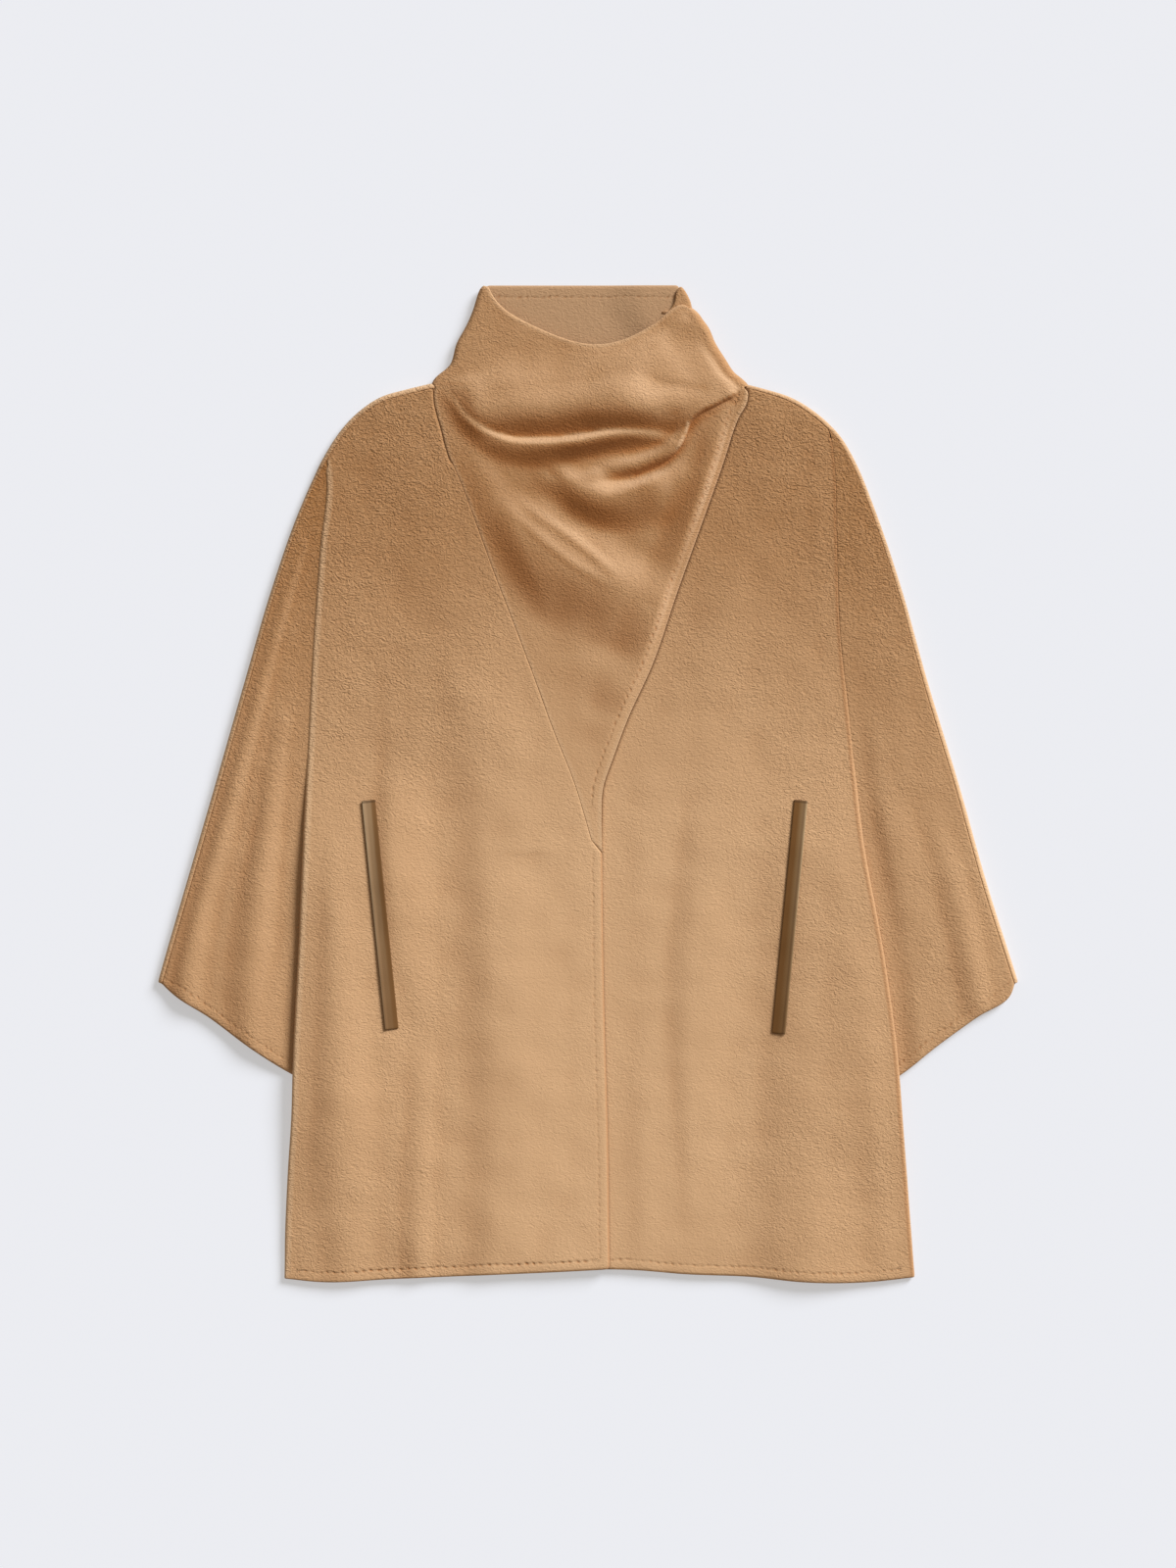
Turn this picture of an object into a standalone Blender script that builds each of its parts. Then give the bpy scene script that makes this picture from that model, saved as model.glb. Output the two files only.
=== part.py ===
"""Wool cape, laid flat on its back with the front side up.

Each panel is one sheet of thick double-faced wool: a grid stretched between the panel's four
edges, set at its own height over the ground, rolled round where the cloth turns at a fold, and
given its wall last.  Seams are gaps.  Lengths are in millimetres until a sheet is finished:
X from the middle towards the wearer's left, Y from the middle of the length up to the collar,
Z up from the ground.  "Right" and "left" are the wearer's.
"""

import math

import bmesh
import bpy
import numpy as np
from mathutils.bvhtree import BVHTree

MM = 0.001

# Walls and layers
CLOTH = 2.4  # wall of the wool
LEATHER = 1.2  # wall of a pocket welt
SEAM = 0.3  # gap between sewn pieces
SLACK = 0.1  # added to a seam where its two sides don't run parallel
GROUND = CLOTH / 2  # middle of a layer that lies on the ground
LOFT = 4.4  # back to front, middle to middle, where the garment lies loose
UNDER = 3.2  # back to a layer that something else covers
OVER = 6.1  # back to the layer that covers it
SLEEVE_LIFT = 5.7  # how far the body lies up on the tucked sleeve
TAIL_LIFT = 3.0  # how far the collar's back lies up on the wrap's tail
HEM_SETTLE = 1.0  # how much closer front and back lie at a hem

# Where a layer changes its height: start and end of each soft step
SLEEVE_STEP_IN = (30, 95)  # inside the side line, from the tucked sleeve down to the ground
SLEEVE_STEP_TOP = (30, 72)  # below the middle of the length, up onto the sleeve
SLEEVE_STEP_BOTTOM = (285, 360)  # and down again, past the cuff
TAIL_STEP_IN = (75, 37)  # inside the collar's left fold, up onto the wrap's tail
TAIL_STEP_OUT = (8, 50)  # outside it, on the shoulder
TAIL_STEP_DOWN = (14, 70)  # below the neck seam
EDGE_STEP = (0, 26)  # inside the side line, from the front's raised edge down
OVER_STEP = (35, 95)  # from the centre edge into the right front
UNDER_STEP = (4, 55)  # from the wrap's free edge into the left front
HEM_STEP = (385, 425)
SLEEVE_SWELL = (6, 50)  # from the side line out, where the sleeve's two halves lie looser
CUFF_STEP = (40, 0)
CUFF_SETTLE = 0.3  # share of a sleeve's loft that is lost at the cuff

# Rolled folds
ROLL_STEPS = 6  # facets of a half turn

# Facets of the grids
SHOULDER_FACETS = 9
NECK_FACETS = 12
SLEEVE_COLUMNS = 10
COLLAR_ROWS = 7
COLLAR_COLUMNS = 20
UNDER_COLUMNS = 10
WELT_ROWS = 16
SHOULDER_ROLL = 2.2  # radius of the shoulder and sleeve folds
SHOULDER_TAIL = 0.8  # how far the back's cloth shows past its roll
SIDE_TAIL_START = 0.3  # how far the front's cloth goes past its turn, where it only lies on the sleeve
SIDE_TAIL = 2.0  # how far the front's cloth reaches under at the side
COLLAR_TAIL = 2.0
FOLD_CLEARANCE = 0.35  # between the nested folds of wrap and under collar, plan
FOLD_LIFT = 0.9  # how far above the neck seam the under collar's fold ends
WRAP_TAIL = 25.0  # hidden end of the wrap behind the neck
WRAP_ROLL = (GROUND + TAIL_LIFT + OVER - GROUND) / 2
WRAP_BEND = OVER / 2 + CLOTH / 2  # from the collar's right outline to where the wrap starts to turn
SHOULDER_BEND = SHOULDER_ROLL + CLOTH / 2

# The garment's plan
NECK_Y = 343.4  # height of the neck seam
FRONT_NECK_Y = NECK_Y - 2 * SEAM - SHOULDER_TAIL  # where the fronts end below the back's rolled edge
COLLAR_TOP = 432.4
TIP_CORNER = (4.0, -50.0)  # where the wrap seam turns out to the centre edge
TIP_END = (12.2, -60.0)

# Outline from the neck over the shoulder and down the sleeve to the cuff
OUTLINE_RIGHT = (
    (-135.0, 346.6), (-155.6, 341.7), (-179.4, 334.9), (-191.3, 328.1), (-207.4, 314.5), (-218.5, 300.9),
    (-227.0, 287.3), (-234.6, 273.7), (-249.9, 239.7), (-273.7, 171.7), (-297.5, 90.1), (-324.7, -5.1),
    (-348.5, -86.7), (-373.4, -172.0),
)
OUTLINE_LEFT = (
    (139.4, 346.6), (157.3, 341.7), (176.8, 334.9), (188.7, 328.1), (206.6, 314.5), (219.3, 300.9),
    (227.8, 287.3), (234.6, 273.7), (248.2, 239.7), (271.2, 171.7), (294.1, 90.1), (323.0, -5.1),
    (346.0, -86.7), (373.4, -172.0),
)
# Line where the body's front edge starts to turn, from the shoulder tip to the hem
SIDE_RIGHT = (
    (-226.1, 279.5), (-224.4, 268.0), (-229.5, 205.0), (-234.6, 136.0), (-241.4, 0.0), (-247.4, -127.5),
    (-253.3, -249.0), (-254.2, -284.0), (-257.6, -338.0), (-260.1, -393.0), (-261.0, -429.0),
)
SIDE_LEFT = (
    (209.1, 305.5), (211.7, 287.0), (214.2, 212.5), (216.5, 136.0), (224.6, 51.0), (234.6, -42.5),
    (255.9, -161.5), (266.9, -249.0), (269.5, -284.0), (273.7, -338.0), (278.0, -393.0), (281.2, -428.0),
)
# Seam between the right front and the wrap, from the neck down
WRAP_SEAM = (
    (-134.4, 343.2), (-133.9, 340.0), (-133.5, 332.4), (-126.7, 306.0), (-121.6, 286.5), (-113.9, 268.6),
    (-79.9, 178.5), (-50.2, 102.0), (-29.8, 46.8), (-11.0, 0.0), (-2.6, -27.2), TIP_CORNER,
)
# The wrap's free edge, from the neck down
FREE_EDGE = (
    (139.0, 340.0), (137.7, 329.8), (130.9, 317.9), (125.0, 302.6), (120.7, 288.2), (113.9, 267.8),
    (102.0, 234.6), (78.2, 168.3), (55.3, 102.0), (34.0, 55.3), (21.3, 21.3), (12.8, -4.3), (11.6, -28.0),
    TIP_END,
)
CENTRE_EDGE = (TIP_END, (12.4, -85.0), (12.8, -127.5), (14.5, -212.5), (17.0, -297.5), (18.7, -420.8))
UNDER_EDGE = ((-6.0, TIP_END[1]), (-9.0, -85.0), (-11.0, -212.5), (-14.0, -420.8))
# Hems and cuffs
HEM_BACK = ((-120.0, -425.0), (0.0, -419.0), (120.0, -424.5))
HEM_INSET = 1.5  # how much shorter the back is than the fronts at the sides
HEM_RIGHT = (
    (-261.0, -429.0), (-233.0, -431.8), (-172.0, -429.3), (-91.0, -425.9), (-30.0, -423.3),
    (18.7, -420.8),
)
HEM_LEFT = (
    (-14.0, -420.8), (41.6, -421.6), (82.5, -425.0), (143.7, -427.6), (184.5, -431.8), (245.7, -431.8),
    (281.2, -428.0),
)
CUFF = {
    "right": (
        (-373.2, -175), (-360.4, -181.9), (-329, -202.3), (-292.4, -229.5), (-260.1, -250),
        (-236, -262.5),
    ),
    "left": (
        (373.2, -175), (367.2, -181.9), (337.5, -202.3), (300.1, -229.5), (274.6, -250),
        (250.5, -266),
    ),
}
# Funnel collar
COLLAR_RIGHT = (
    (-92.7, 430.4), (-96.1, 423.3), (-100.3, 409.7), (-106.3, 396.1), (-113.9, 382.5), (-120.7, 362.1),
    (-129.2, 355.3), (-134.3, 350.0), (-134.3, NECK_Y),
)
COLLAR_LEFT = (
    (92.6, 415.0), (95.6, 409.6), (99.5, 402.9), (104.6, 396.1), (110.5, 382.5), (119.0, 368.9),
    (128.4, 355.3), (136.5, 349.0),
    (138.6, NECK_Y),
)
WRAP_TOP = (
    (-85.9, 426.0), (-83.0, 421.0), (-80.0, 415.5), (-75.5, 410.8), (-59.0, 402.5), (-44.3, 395.8),
    (-26.0, 388.0),
    (-7.0, 382.2), (8.0, 380.8), (26.0, 383.5), (43.0, 390.5), (60.4, 401.3), (72.5, 411.7), (77.5, 414.8),
    (81.2, 415.4), (84.8, 414.6),
)
UNDER_LOBE = ((79.6, 429.5), (84.3, 421.9), (86.9, 416.2))
UNDER_TOP = (
    (-20.0, 368.0), (10.0, 372.0), (30.0, 378.0), (44.0, 385.0), (56.0, 392.5), (65.0, 400.5),
    (70.5, 407.5),
    (73.4, 414.3), (74.7, 417.8), (76.8, 423.0), (76.4, 427.5), UNDER_LOBE[0],
)
UNDER_SEAM_INSET = 12.0  # how far the under collar's seam lies inside the wrap's free edge
# Hidden free edge of the under collar, from its top down
UNDER_FREE = (
    UNDER_TOP[0], (-30.0, NECK_Y), (-38.0, 300.0), (-36.0, 200.0), (-22.0, 100.0), (-7.0, 20.0),
    (-8.0, -50.0),
)
# Pocket welts: top and bottom of the middle line
WELT_RIGHT = ((-190.2, -14.0), (-170.0, -212.5))
WELT_LEFT = ((184.3, -14.0), (165.0, -216.5))
WELT_WIDTH = 12.0

# How body and sleeve meet down the side, one row for each height:
# height, rise of the front's edge, degrees it turns over, start of the sleeve outside the front's edge line
# (under the body where it is less than nothing), the sleeve's height over its own back
SIDE_SECTIONS = {
    "right": (
        (282, 0.0, 25, 1.9, LOFT),
        (262, 1.9, 70, 3.6, 2.9),
        (235, 1.9, 70, -2.0, 2.9),
        (-30, 1.9, 70, -2.0, 2.9),
        (-75, 0.6, 75, -2.0, 2.9),
        (-105, 0.0, 130, -2.0, 2.9),
        (-135, 0.0, 180, -5.0, 2.9),
        (-270, 0.0, 180, -18.0, 2.9),
    ),
    "left": (
        (309, 0.0, 30, 2.2, LOFT),
        (136, 0.0, 30, 2.2, LOFT),
        (60, 1.9, 70, 3.6, 2.9),
        (30, 1.9, 70, -2.0, 2.9),
        (-30, 1.9, 70, -2.0, 2.9),
        (-75, 0.6, 75, -2.0, 2.9),
        (-105, 0.0, 130, -2.0, 2.9),
        (-135, 0.0, 180, -5.0, 2.9),
        (-270, 0.0, 180, -18.0, 2.9),
    ),
}
# Heights of the grid rows where they meet the side, and where they meet the wrap seam and centre edge
SIDE_LEVELS = {
    "right": (
        279.5, 271, 262, 248, 235, 205, 170, 135, 95, 55, 10, -30, -75, -105, -135, -180,
        -225, -290, -350, -400, -429,
    ),
    "left": (
        305.5, 285, 260, 230, 200, 168, 136, 110, 85, 60, 30, 0, -30, -75, -105, -135, -180,
        -225, -290, -360, -428,
    ),
}
SLEEVE_LEVELS = {
    "right": (274, 262, 248, 235, 205, 170, 135, 95, 55, 10, -30, -75, -105, -135, -180, -225, -262.5),
    "left": (299, 285, 260, 230, 200, 168, 136, 110, 85, 60, 30, 0, -30, -75, -105, -135, -180, -225, -266),
}
SEAM_LEVELS = (NECK_Y, 340, 332, 322, 306, 285, 255, 218, 175, 130, 80, 30, -12, TIP_CORNER[1])
CENTRE_LEVELS = (TIP_END[1], -105, -150, -205, -265, -340, -420.8)

# Soft folds, one row each: line from top to bottom, half width, rise at the top and at the bottom
FRONT_RIGHT_FOLDS = (
    (((-196, 190), (-199, -20), (-198, -440)), 34, 0.5, 3.2),
    (((-112, 60), (-118, -200), (-123, -440)), 33, 0.3, 3.2),
    (((-48, -90), (-52, -440)), 34, 0.0, 1.8),
)
FRONT_LEFT_FOLDS = (
    (((52, -60), (45, -440)), 26, 0.0, 1.8),
    (((118, 60), (119, -440)), 34, 0.4, 2.6),
    (((176, 190), (190, -120), (197, -440)), 34, 0.4, 3.2),
)
SLEEVE_FOLDS = {
    "right": (
        (((-246, 200), (-292, 40), (-340, -180)), 24, 0.2, 3.4),
        (((-250, 110), (-264, -40), (-284, -235)), 20, 0.2, 2.4),
    ),
    "left": (
        (((246, 200), (292, 40), (338, -185)), 24, 0.2, 3.0),
        (((246, 70), (272, -60), (300, -228)), 22, 0.2, 2.8),
    ),
}
WRAP_FOLDS = (
    (((-100, 352), (-40, 338), (30, 345), (95, 352)), 34, 3.5, 3.5),
    (((-126, 331), (-103, 311), (-73, 299), (-41, 296), (-13, 300), (18, 306), (48, 307), (84, 301)), 12, 4.0, 5.0),
    (((-20, 268), (20, 266), (60, 262)), 18, 1.5, 3.0),
    (((-117, 291), (-82, 257), (-41, 227), (8, 205), (62, 165)), 26, 1.5, 4.5),
    (((-70, 200), (-20, 120), (5, 40)), 26, 0.5, 1.5),
)
# Crease where the wrap's drape rolls over its stitched edge, from the neck inwards, how high
# the drape stands there, and how far that reaches
WRAP_CREASE = ((134, 338), (105, 327), (89, 315), (86, 303), (77, 291), (64, 279), (44, 270))
CREASE_RISE = 4.0
CREASE_REACH = 16.0


def eased(low, high, value):
    """0 up to low, 1 from high on, and a soft S between them."""
    share = np.clip((value - low) / (high - low), 0.0, 1.0)
    return share * share * (3 - 2 * share)


class Line:
    """A smooth line in the plan through a few points, read by the share of its length or by its height."""

    STEPS = 10

    def __init__(self, knots, smooth=True):
        knots = np.array([knot[:2] for knot in knots], dtype=float)
        self.points = self.smoothed(knots) if smooth else knots
        lengths = np.linalg.norm(np.diff(self.points, axis=0), axis=1)
        self.shares = np.concatenate([[0.0], np.cumsum(lengths)]) / lengths.sum()

    def smoothed(self, knots):
        spans = np.linalg.norm(np.diff(knots, axis=0), axis=1)[:, None]
        slopes = np.diff(knots, axis=0) / spans
        inner = (slopes[:-1] * spans[1:] + slopes[1:] * spans[:-1]) / (spans[:-1] + spans[1:])
        tangents = np.vstack([slopes[:1], inner, slopes[-1:]])
        points = []
        for start, end, span, leave, arrive in zip(knots, knots[1:], spans, tangents, tangents[1:]):
            for t in np.arange(self.STEPS) / self.STEPS:
                points.append(
                    (2 * t**3 - 3 * t**2 + 1) * start
                    + (t**3 - 2 * t**2 + t) * span * leave
                    + (3 * t**2 - 2 * t**3) * end
                    + (t**3 - t**2) * span * arrive
                )
        return np.vstack(points + [knots[-1]])

    def at(self, shares):
        return np.stack([np.interp(shares, self.shares, self.points[:, k]) for k in (0, 1)], axis=-1)

    def x_at(self, y):
        return np.interp(-np.asarray(y, dtype=float), -self.points[:, 1], self.points[:, 0])

    def on_levels(self, levels):
        return np.stack([self.x_at(levels), np.array(levels, dtype=float)], axis=-1)

    def moved(self, distance):
        """The same line moved to its left-hand side, looking along it."""
        return Line(self.points + distance * left_normals(self.points), smooth=False)

    def share_near(self, point):
        return self.shares[np.argmin(np.linalg.norm(self.points - np.array(point), axis=1))]

    def distance(self, x, y):
        """The distance of each point (x, y) from the line, and the share of its nearest point.

        The distance is below nothing on the line's right-hand side, looking along it.
        """
        best = np.full(np.shape(x), 1e9)
        side = np.ones(np.shape(x))
        share = np.zeros(np.shape(x))
        for a, b, share_a, share_b in zip(self.points, self.points[1:], self.shares, self.shares[1:]):
            step = b - a
            t = np.clip(((x - a[0]) * step[0] + (y - a[1]) * step[1]) / (step @ step), 0.0, 1.0)
            away = np.hypot(x - a[0] - t * step[0], y - a[1] - t * step[1])
            nearer = away < best
            best = np.where(nearer, away, best)
            share = np.where(nearer, share_a + t * (share_b - share_a), share)
            side = np.where(nearer, np.sign(step[0] * (y - a[1]) - step[1] * (x - a[0])), side)
        return best * side, share


def left_normals(points):
    along = np.gradient(points, axis=0)
    along /= np.linalg.norm(along, axis=1)[:, None]
    return np.stack([-along[:, 1], along[:, 0]], axis=-1)


def outward_normals(edge, towards):
    """Plan normals of an edge, on the side that a direction points to."""
    normals = left_normals(edge[:, :2])
    return normals * np.sign((normals @ np.array(towards, dtype=float)).sum())


OUTLINE = {"right": Line(OUTLINE_RIGHT), "left": Line(OUTLINE_LEFT)}
SIDE = {"right": Line(SIDE_RIGHT), "left": Line(SIDE_LEFT)}
OUTWARD = {"right": -1, "left": 1}  # sign of X towards the outside
SEAM_LINE = Line(WRAP_SEAM)
FREE_LINE = Line(FREE_EDGE)
OVER_EDGE = Line(list(FREE_EDGE) + list(CENTRE_EDGE[1:]))
RIGHT_BEND = Line(COLLAR_RIGHT).moved(WRAP_BEND)
LEFT_BEND = Line(COLLAR_LEFT).moved(-(WRAP_ROLL + CLOTH / 2))


def side_value(side, y, column):
    """A column of SIDE_SECTIONS at height y, eased from row to row."""
    rows = SIDE_SECTIONS[side]
    value = np.full(np.shape(y), float(rows[0][column]))
    for upper, lower in zip(rows, rows[1:]):
        step = eased(-upper[0], -lower[0], -np.asarray(y, dtype=float))
        value = value + (lower[column] - upper[column]) * step
    return value


def side_depth(side, x, y):
    """How far inside the body's side line a point lies."""
    return OUTWARD[side] * (SIDE[side].x_at(y) - x)


def folds(rows, x, y):
    """The rise of soft folds over a plain sheet."""
    rise = np.zeros(np.shape(x))
    for knots, half_width, rise_top, rise_bottom in rows:
        away, share = Line(knots).distance(x, y)
        crown = np.cos(np.minimum(np.abs(away) / half_width, 1.0) * math.pi / 2) ** 2
        rise = np.maximum(rise, crown * (rise_top + (rise_bottom - rise_top) * share))
    return rise


# Heights of the layers


def back_height(x, y):
    """Middle of the body's back and of the collar's back."""
    height = np.full(np.shape(x), GROUND)
    for side in ("right", "left"):
        inside = 1 - eased(*SLEEVE_STEP_IN, side_depth(side, x, y))
        along = eased(*SLEEVE_STEP_TOP, -y) * (1 - eased(*SLEEVE_STEP_BOTTOM, -y))
        on_this_side = OUTWARD[side] * x > 0
        height = height + np.where(on_this_side, SLEEVE_LIFT * inside * along, 0.0)
    fold_x = LEFT_BEND.x_at(y)
    under_neck = eased(*TAIL_STEP_IN, fold_x - x) * (1 - eased(*TAIL_STEP_OUT, x - fold_x))
    return height + TAIL_LIFT * under_neck * (1 - eased(*TAIL_STEP_DOWN, NECK_Y - y))


def front_edge_rise(side, x, y):
    return side_value(side, y, 1) * (1 - eased(*EDGE_STEP, side_depth(side, x, y)))


def loose(y):
    """How far a front lies over the back where nothing else holds it up."""
    return LOFT - HEM_SETTLE * eased(*HEM_STEP, -y)


def front_right_height(x, y):
    inner = np.where(y > TIP_END[1], SEAM_LINE.x_at(y), OVER_EDGE.x_at(y)) - x
    over = (OVER - loose(y)) * (1 - eased(*OVER_STEP, inner))
    soft = folds(FRONT_RIGHT_FOLDS, x, y) * eased(6, 30, side_depth("right", x, y)) * eased(4, 30, inner)
    return back_height(x, y) + loose(y) + over + front_edge_rise("right", x, y) + soft


def front_left_height(x, y):
    past_edge = x - OVER_EDGE.x_at(y)
    under = (UNDER - loose(y)) * (1 - eased(*UNDER_STEP, past_edge))
    soft = folds(FRONT_LEFT_FOLDS, x, y) * eased(6, 30, side_depth("left", x, y)) * eased(6, 40, past_edge)
    return back_height(x, y) + loose(y) + under + front_edge_rise("left", x, y) + soft


def wrap_height(x, y):
    """Middle of the wrap, both on the collar and on the chest."""
    from_seam = np.where(y > NECK_Y, x - RIGHT_BEND.x_at(y), x - SEAM_LINE.x_at(y))
    from_edge = np.where(y > NECK_Y, LEFT_BEND.x_at(y) - x, FREE_LINE.x_at(y) - x)
    calm = eased(2, 26, from_seam) * eased(2, 26, from_edge)
    away, share = Line(WRAP_CREASE).distance(x, y)
    drape = eased(-1, 4, -away) * np.exp(-np.abs(away) / CREASE_REACH)
    drape = CREASE_RISE * drape * eased(0, 0.3, share) * (1 - eased(0.75, 1.0, share))
    return back_height(x, y) + OVER + calm * folds(WRAP_FOLDS, x, y) + drape * eased(4, 16, from_edge)


def under_height(x, y):
    return back_height(x, y) + UNDER


def sleeve_height(side, x, y):
    """Middle of a sleeve's front."""
    low = side_value(side, y, 4)
    outside = -side_depth(side, x, y)
    rows = SLEEVE_FOLDS[side]
    to_cuff = 1 - CUFF_SETTLE * eased(*CUFF_STEP, cuff_distance(side, x, y))
    soft = folds(rows, x, y) * eased(8, 34, outside) * eased(8, 26, outline_depth(side, x, y))
    return GROUND + low + (LOFT - low) * eased(*SLEEVE_SWELL, outside) * to_cuff + soft


def cuff_distance(side, x, y):
    return np.abs(Line(CUFF[side]).distance(x, y)[0])


def outline_depth(side, x, y):
    return np.abs(OUTLINE[side].distance(x, y)[0])


# Grids


def patch(top, bottom, left, right):
    """A plan grid stretched between four rows of points that share their corners.

    Its rows run down and its columns across.
    """
    u = np.linspace(0.0, 1.0, len(top))[None, :, None]
    v = np.linspace(0.0, 1.0, len(left))[:, None, None]
    across = (1 - u) * left[:, None] + u * right[:, None]
    down = (1 - v) * top[None] + v * bottom[None]
    corners = (
        (1 - u) * (1 - v) * top[0] + u * (1 - v) * top[-1] + (1 - u) * v * bottom[0] + u * v * bottom[-1]
    )
    return across + down - corners


def raised(plan, height):
    return np.concatenate([plan, height(plan[..., 0], plan[..., 1])[..., None]], axis=-1)


def roll(edge, outward, radius, turn, tail, way):
    """The cloth past an edge: an arc of a radius and a turn (degrees), then a straight tail.

    way is 1 to roll up and over, and -1 to roll down and under.
    """
    radius, turn, tail = (np.broadcast_to(value, len(edge)) for value in (radius, np.radians(turn), tail))
    rows = []
    for share in np.linspace(0.0, 1.0, ROLL_STEPS + 1):
        out = radius * np.sin(turn * share)
        rise = radius * (1 - np.cos(turn * share))
        rows.append((out, rise))
    rows.append((out + tail * np.cos(turn), rise + tail * np.sin(turn)))
    grid = np.repeat(edge[:, None], len(rows), axis=1)
    for k, (out, rise) in enumerate(rows):
        grid[:, k, :2] += outward * out[:, None]
        grid[:, k, 2] += way * rise
    return grid


def split(points, parts):
    """The same row of points with each straight part between two of them cut into some parts."""
    places = np.linspace(0, len(points) - 1, (len(points) - 1) * parts + 1)
    return np.stack([np.interp(places, np.arange(len(points)), points[:, k]) for k in (0, 1)], axis=-1)


def cloth(name, grids, material, wall=CLOTH):
    """Sews the grids of one piece together and gives the sheet its wall."""
    sheet = bmesh.new()
    for grid in grids:
        rows, columns = grid.shape[0] - 1, grid.shape[1] - 1
        made = bmesh.ops.create_grid(sheet, x_segments=columns, y_segments=rows, size=0.5)
        for vert in made["verts"]:
            row = round((vert.co.y + 0.5) * rows)
            column = round((vert.co.x + 0.5) * columns)
            vert.co = grid[row, column]
    bmesh.ops.remove_doubles(sheet, verts=sheet.verts, dist=0.01)
    bmesh.ops.recalc_face_normals(sheet, faces=sheet.faces)
    bmesh.ops.scale(sheet, vec=(MM, MM, MM), verts=sheet.verts)
    mesh = bpy.data.meshes.new(name)
    sheet.to_mesh(mesh)
    sheet.free()
    mesh.shade_smooth()
    mesh.materials.append(material)
    piece = bpy.data.objects.new(name, mesh)
    bpy.data.collections["wool_cape"].objects.link(piece)
    thick = piece.modifiers.new("wall", "SOLIDIFY")
    thick.thickness = wall * MM
    thick.offset = 0.0
    thick.use_quality_normals = True
    return piece


# Pieces


def shoulder_rows(side, bend, parts=1):
    """Points of the shoulder edge from its tip to the neck, inside the outline by bend."""
    line = OUTLINE[side].moved(-OUTWARD[side] * bend)
    tip = line.share_near(SIDE[side].points[0])
    return split(line.at(np.linspace(tip, 0.0, SHOULDER_FACETS + 1)), parts)


def shoulder_strip(edge, side):
    """The back's cloth rolled up over the shoulder."""
    outward = outward_normals(edge, (0, 1))
    x, y = edge[:, 0], edge[:, 1]
    front = front_right_height(x, y) if side == "right" else front_left_height(x, y)
    return roll(edge, outward, (front - edge[:, 2]) / 2, 180, SHOULDER_TAIL, 1)


def back_side(side):
    """Edge of the body's back down the side, next to the sleeve's back and the front's turned edge."""
    points = SIDE[side].on_levels(SIDE_LEVELS[side])
    points[:, 0] -= OUTWARD[side] * (SIDE_TAIL + SEAM)
    points[0] = shoulder_rows(side, SHOULDER_BEND)[0]
    return points


def back(material):
    right = shoulder_rows("right", SHOULDER_BEND)
    left = shoulder_rows("left", SHOULDER_BEND)[::-1]
    right[-1] = (OUTLINE_RIGHT[0][0], NECK_Y - SEAM)
    left[0] = (OUTLINE_LEFT[0][0], NECK_Y - SEAM)
    across = np.linspace(right[-1], left[0], NECK_FACETS + 1)
    top = np.vstack([right, across[1:-1], left])
    sides = {side: back_side(side) for side in ("right", "left")}
    ends = [sides[side][-1] + (0, HEM_INSET) for side in ("right", "left")]
    bottom = Line([ends[0], *HEM_BACK, ends[1]]).at(np.linspace(0, 1, len(top)))
    sides["right"][-1], sides["left"][-1] = bottom[0], bottom[-1]
    grid = raised(patch(top, bottom, sides["right"], sides["left"]), back_height)
    strips = [
        shoulder_strip(grid[0, : SHOULDER_FACETS + 1], "right"),
        shoulder_strip(grid[0, -SHOULDER_FACETS - 1 :], "left"),
    ]
    return cloth("back", [grid] + strips, material)


def side_strip(edge, side):
    """The front's cloth turned down over the sleeve, and under the body below the underarm."""
    outward = outward_normals(edge, (OUTWARD[side], 0))
    y = edge[:, 1]
    turn = side_value(side, y, 2)
    full = (edge[:, 2] - back_height(edge[:, 0], y)) / 2
    radius = np.where(turn > 90, full, SHOULDER_ROLL)
    tail = SIDE_TAIL_START + (SIDE_TAIL - SIDE_TAIL_START) * eased(120, 180, turn)
    return roll(edge, outward, radius, turn, tail, -1)


def front_right(material):
    top = shoulder_rows("right", SHOULDER_BEND + SHOULDER_TAIL + SEAM, 2)
    left = SIDE["right"].on_levels(SIDE_LEVELS["right"])
    seam = SEAM_LINE.on_levels(SEAM_LEVELS) + (-SEAM / 2, -SEAM / 2)
    seam[0, 1] = FRONT_NECK_Y
    centre = Line(CENTRE_EDGE).on_levels(CENTRE_LEVELS) + (0, -SEAM / 2)
    right = np.vstack([seam, centre])
    bottom = Line(HEM_RIGHT).at(np.linspace(0, 1, len(top)))
    top[0], top[-1] = left[0], right[0]
    bottom[0], bottom[-1] = left[-1], right[-1]
    grid = raised(patch(top, bottom, left, right), front_right_height)
    welt("welt_right", grid, WELT_RIGHT)
    return cloth("front_right", [grid, side_strip(grid[1:, 0], "right")], material)


def front_left(material):
    top = shoulder_rows("left", SHOULDER_BEND + SHOULDER_TAIL + SEAM, 2)[::-1]
    right = SIDE["left"].on_levels(SIDE_LEVELS["left"])
    seam = under_seam() + (SEAM / 2, -SEAM / 2)
    seam[0, 1] = FRONT_NECK_Y
    centre = Line(UNDER_EDGE).on_levels(CENTRE_LEVELS)
    left = np.vstack([seam, centre])
    bottom = Line(HEM_LEFT).at(np.linspace(0, 1, len(top)))
    top[0], top[-1] = left[0], right[0]
    bottom[0], bottom[-1] = left[-1], right[-1]
    grid = raised(patch(top, bottom, left, right), front_left_height)
    welt("welt_left", grid, WELT_LEFT)
    return cloth("front_left", [grid, side_strip(grid[1:, -1], "left")], material)


def under_seam():
    """Hidden seam between the left front and its collar, inside the wrap's free edge."""
    points = FREE_LINE.on_levels(SEAM_LEVELS)
    points[:, 0] -= UNDER_SEAM_INSET
    points[0, 0] = LEFT_BEND.points[-1, 0]
    return points


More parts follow.
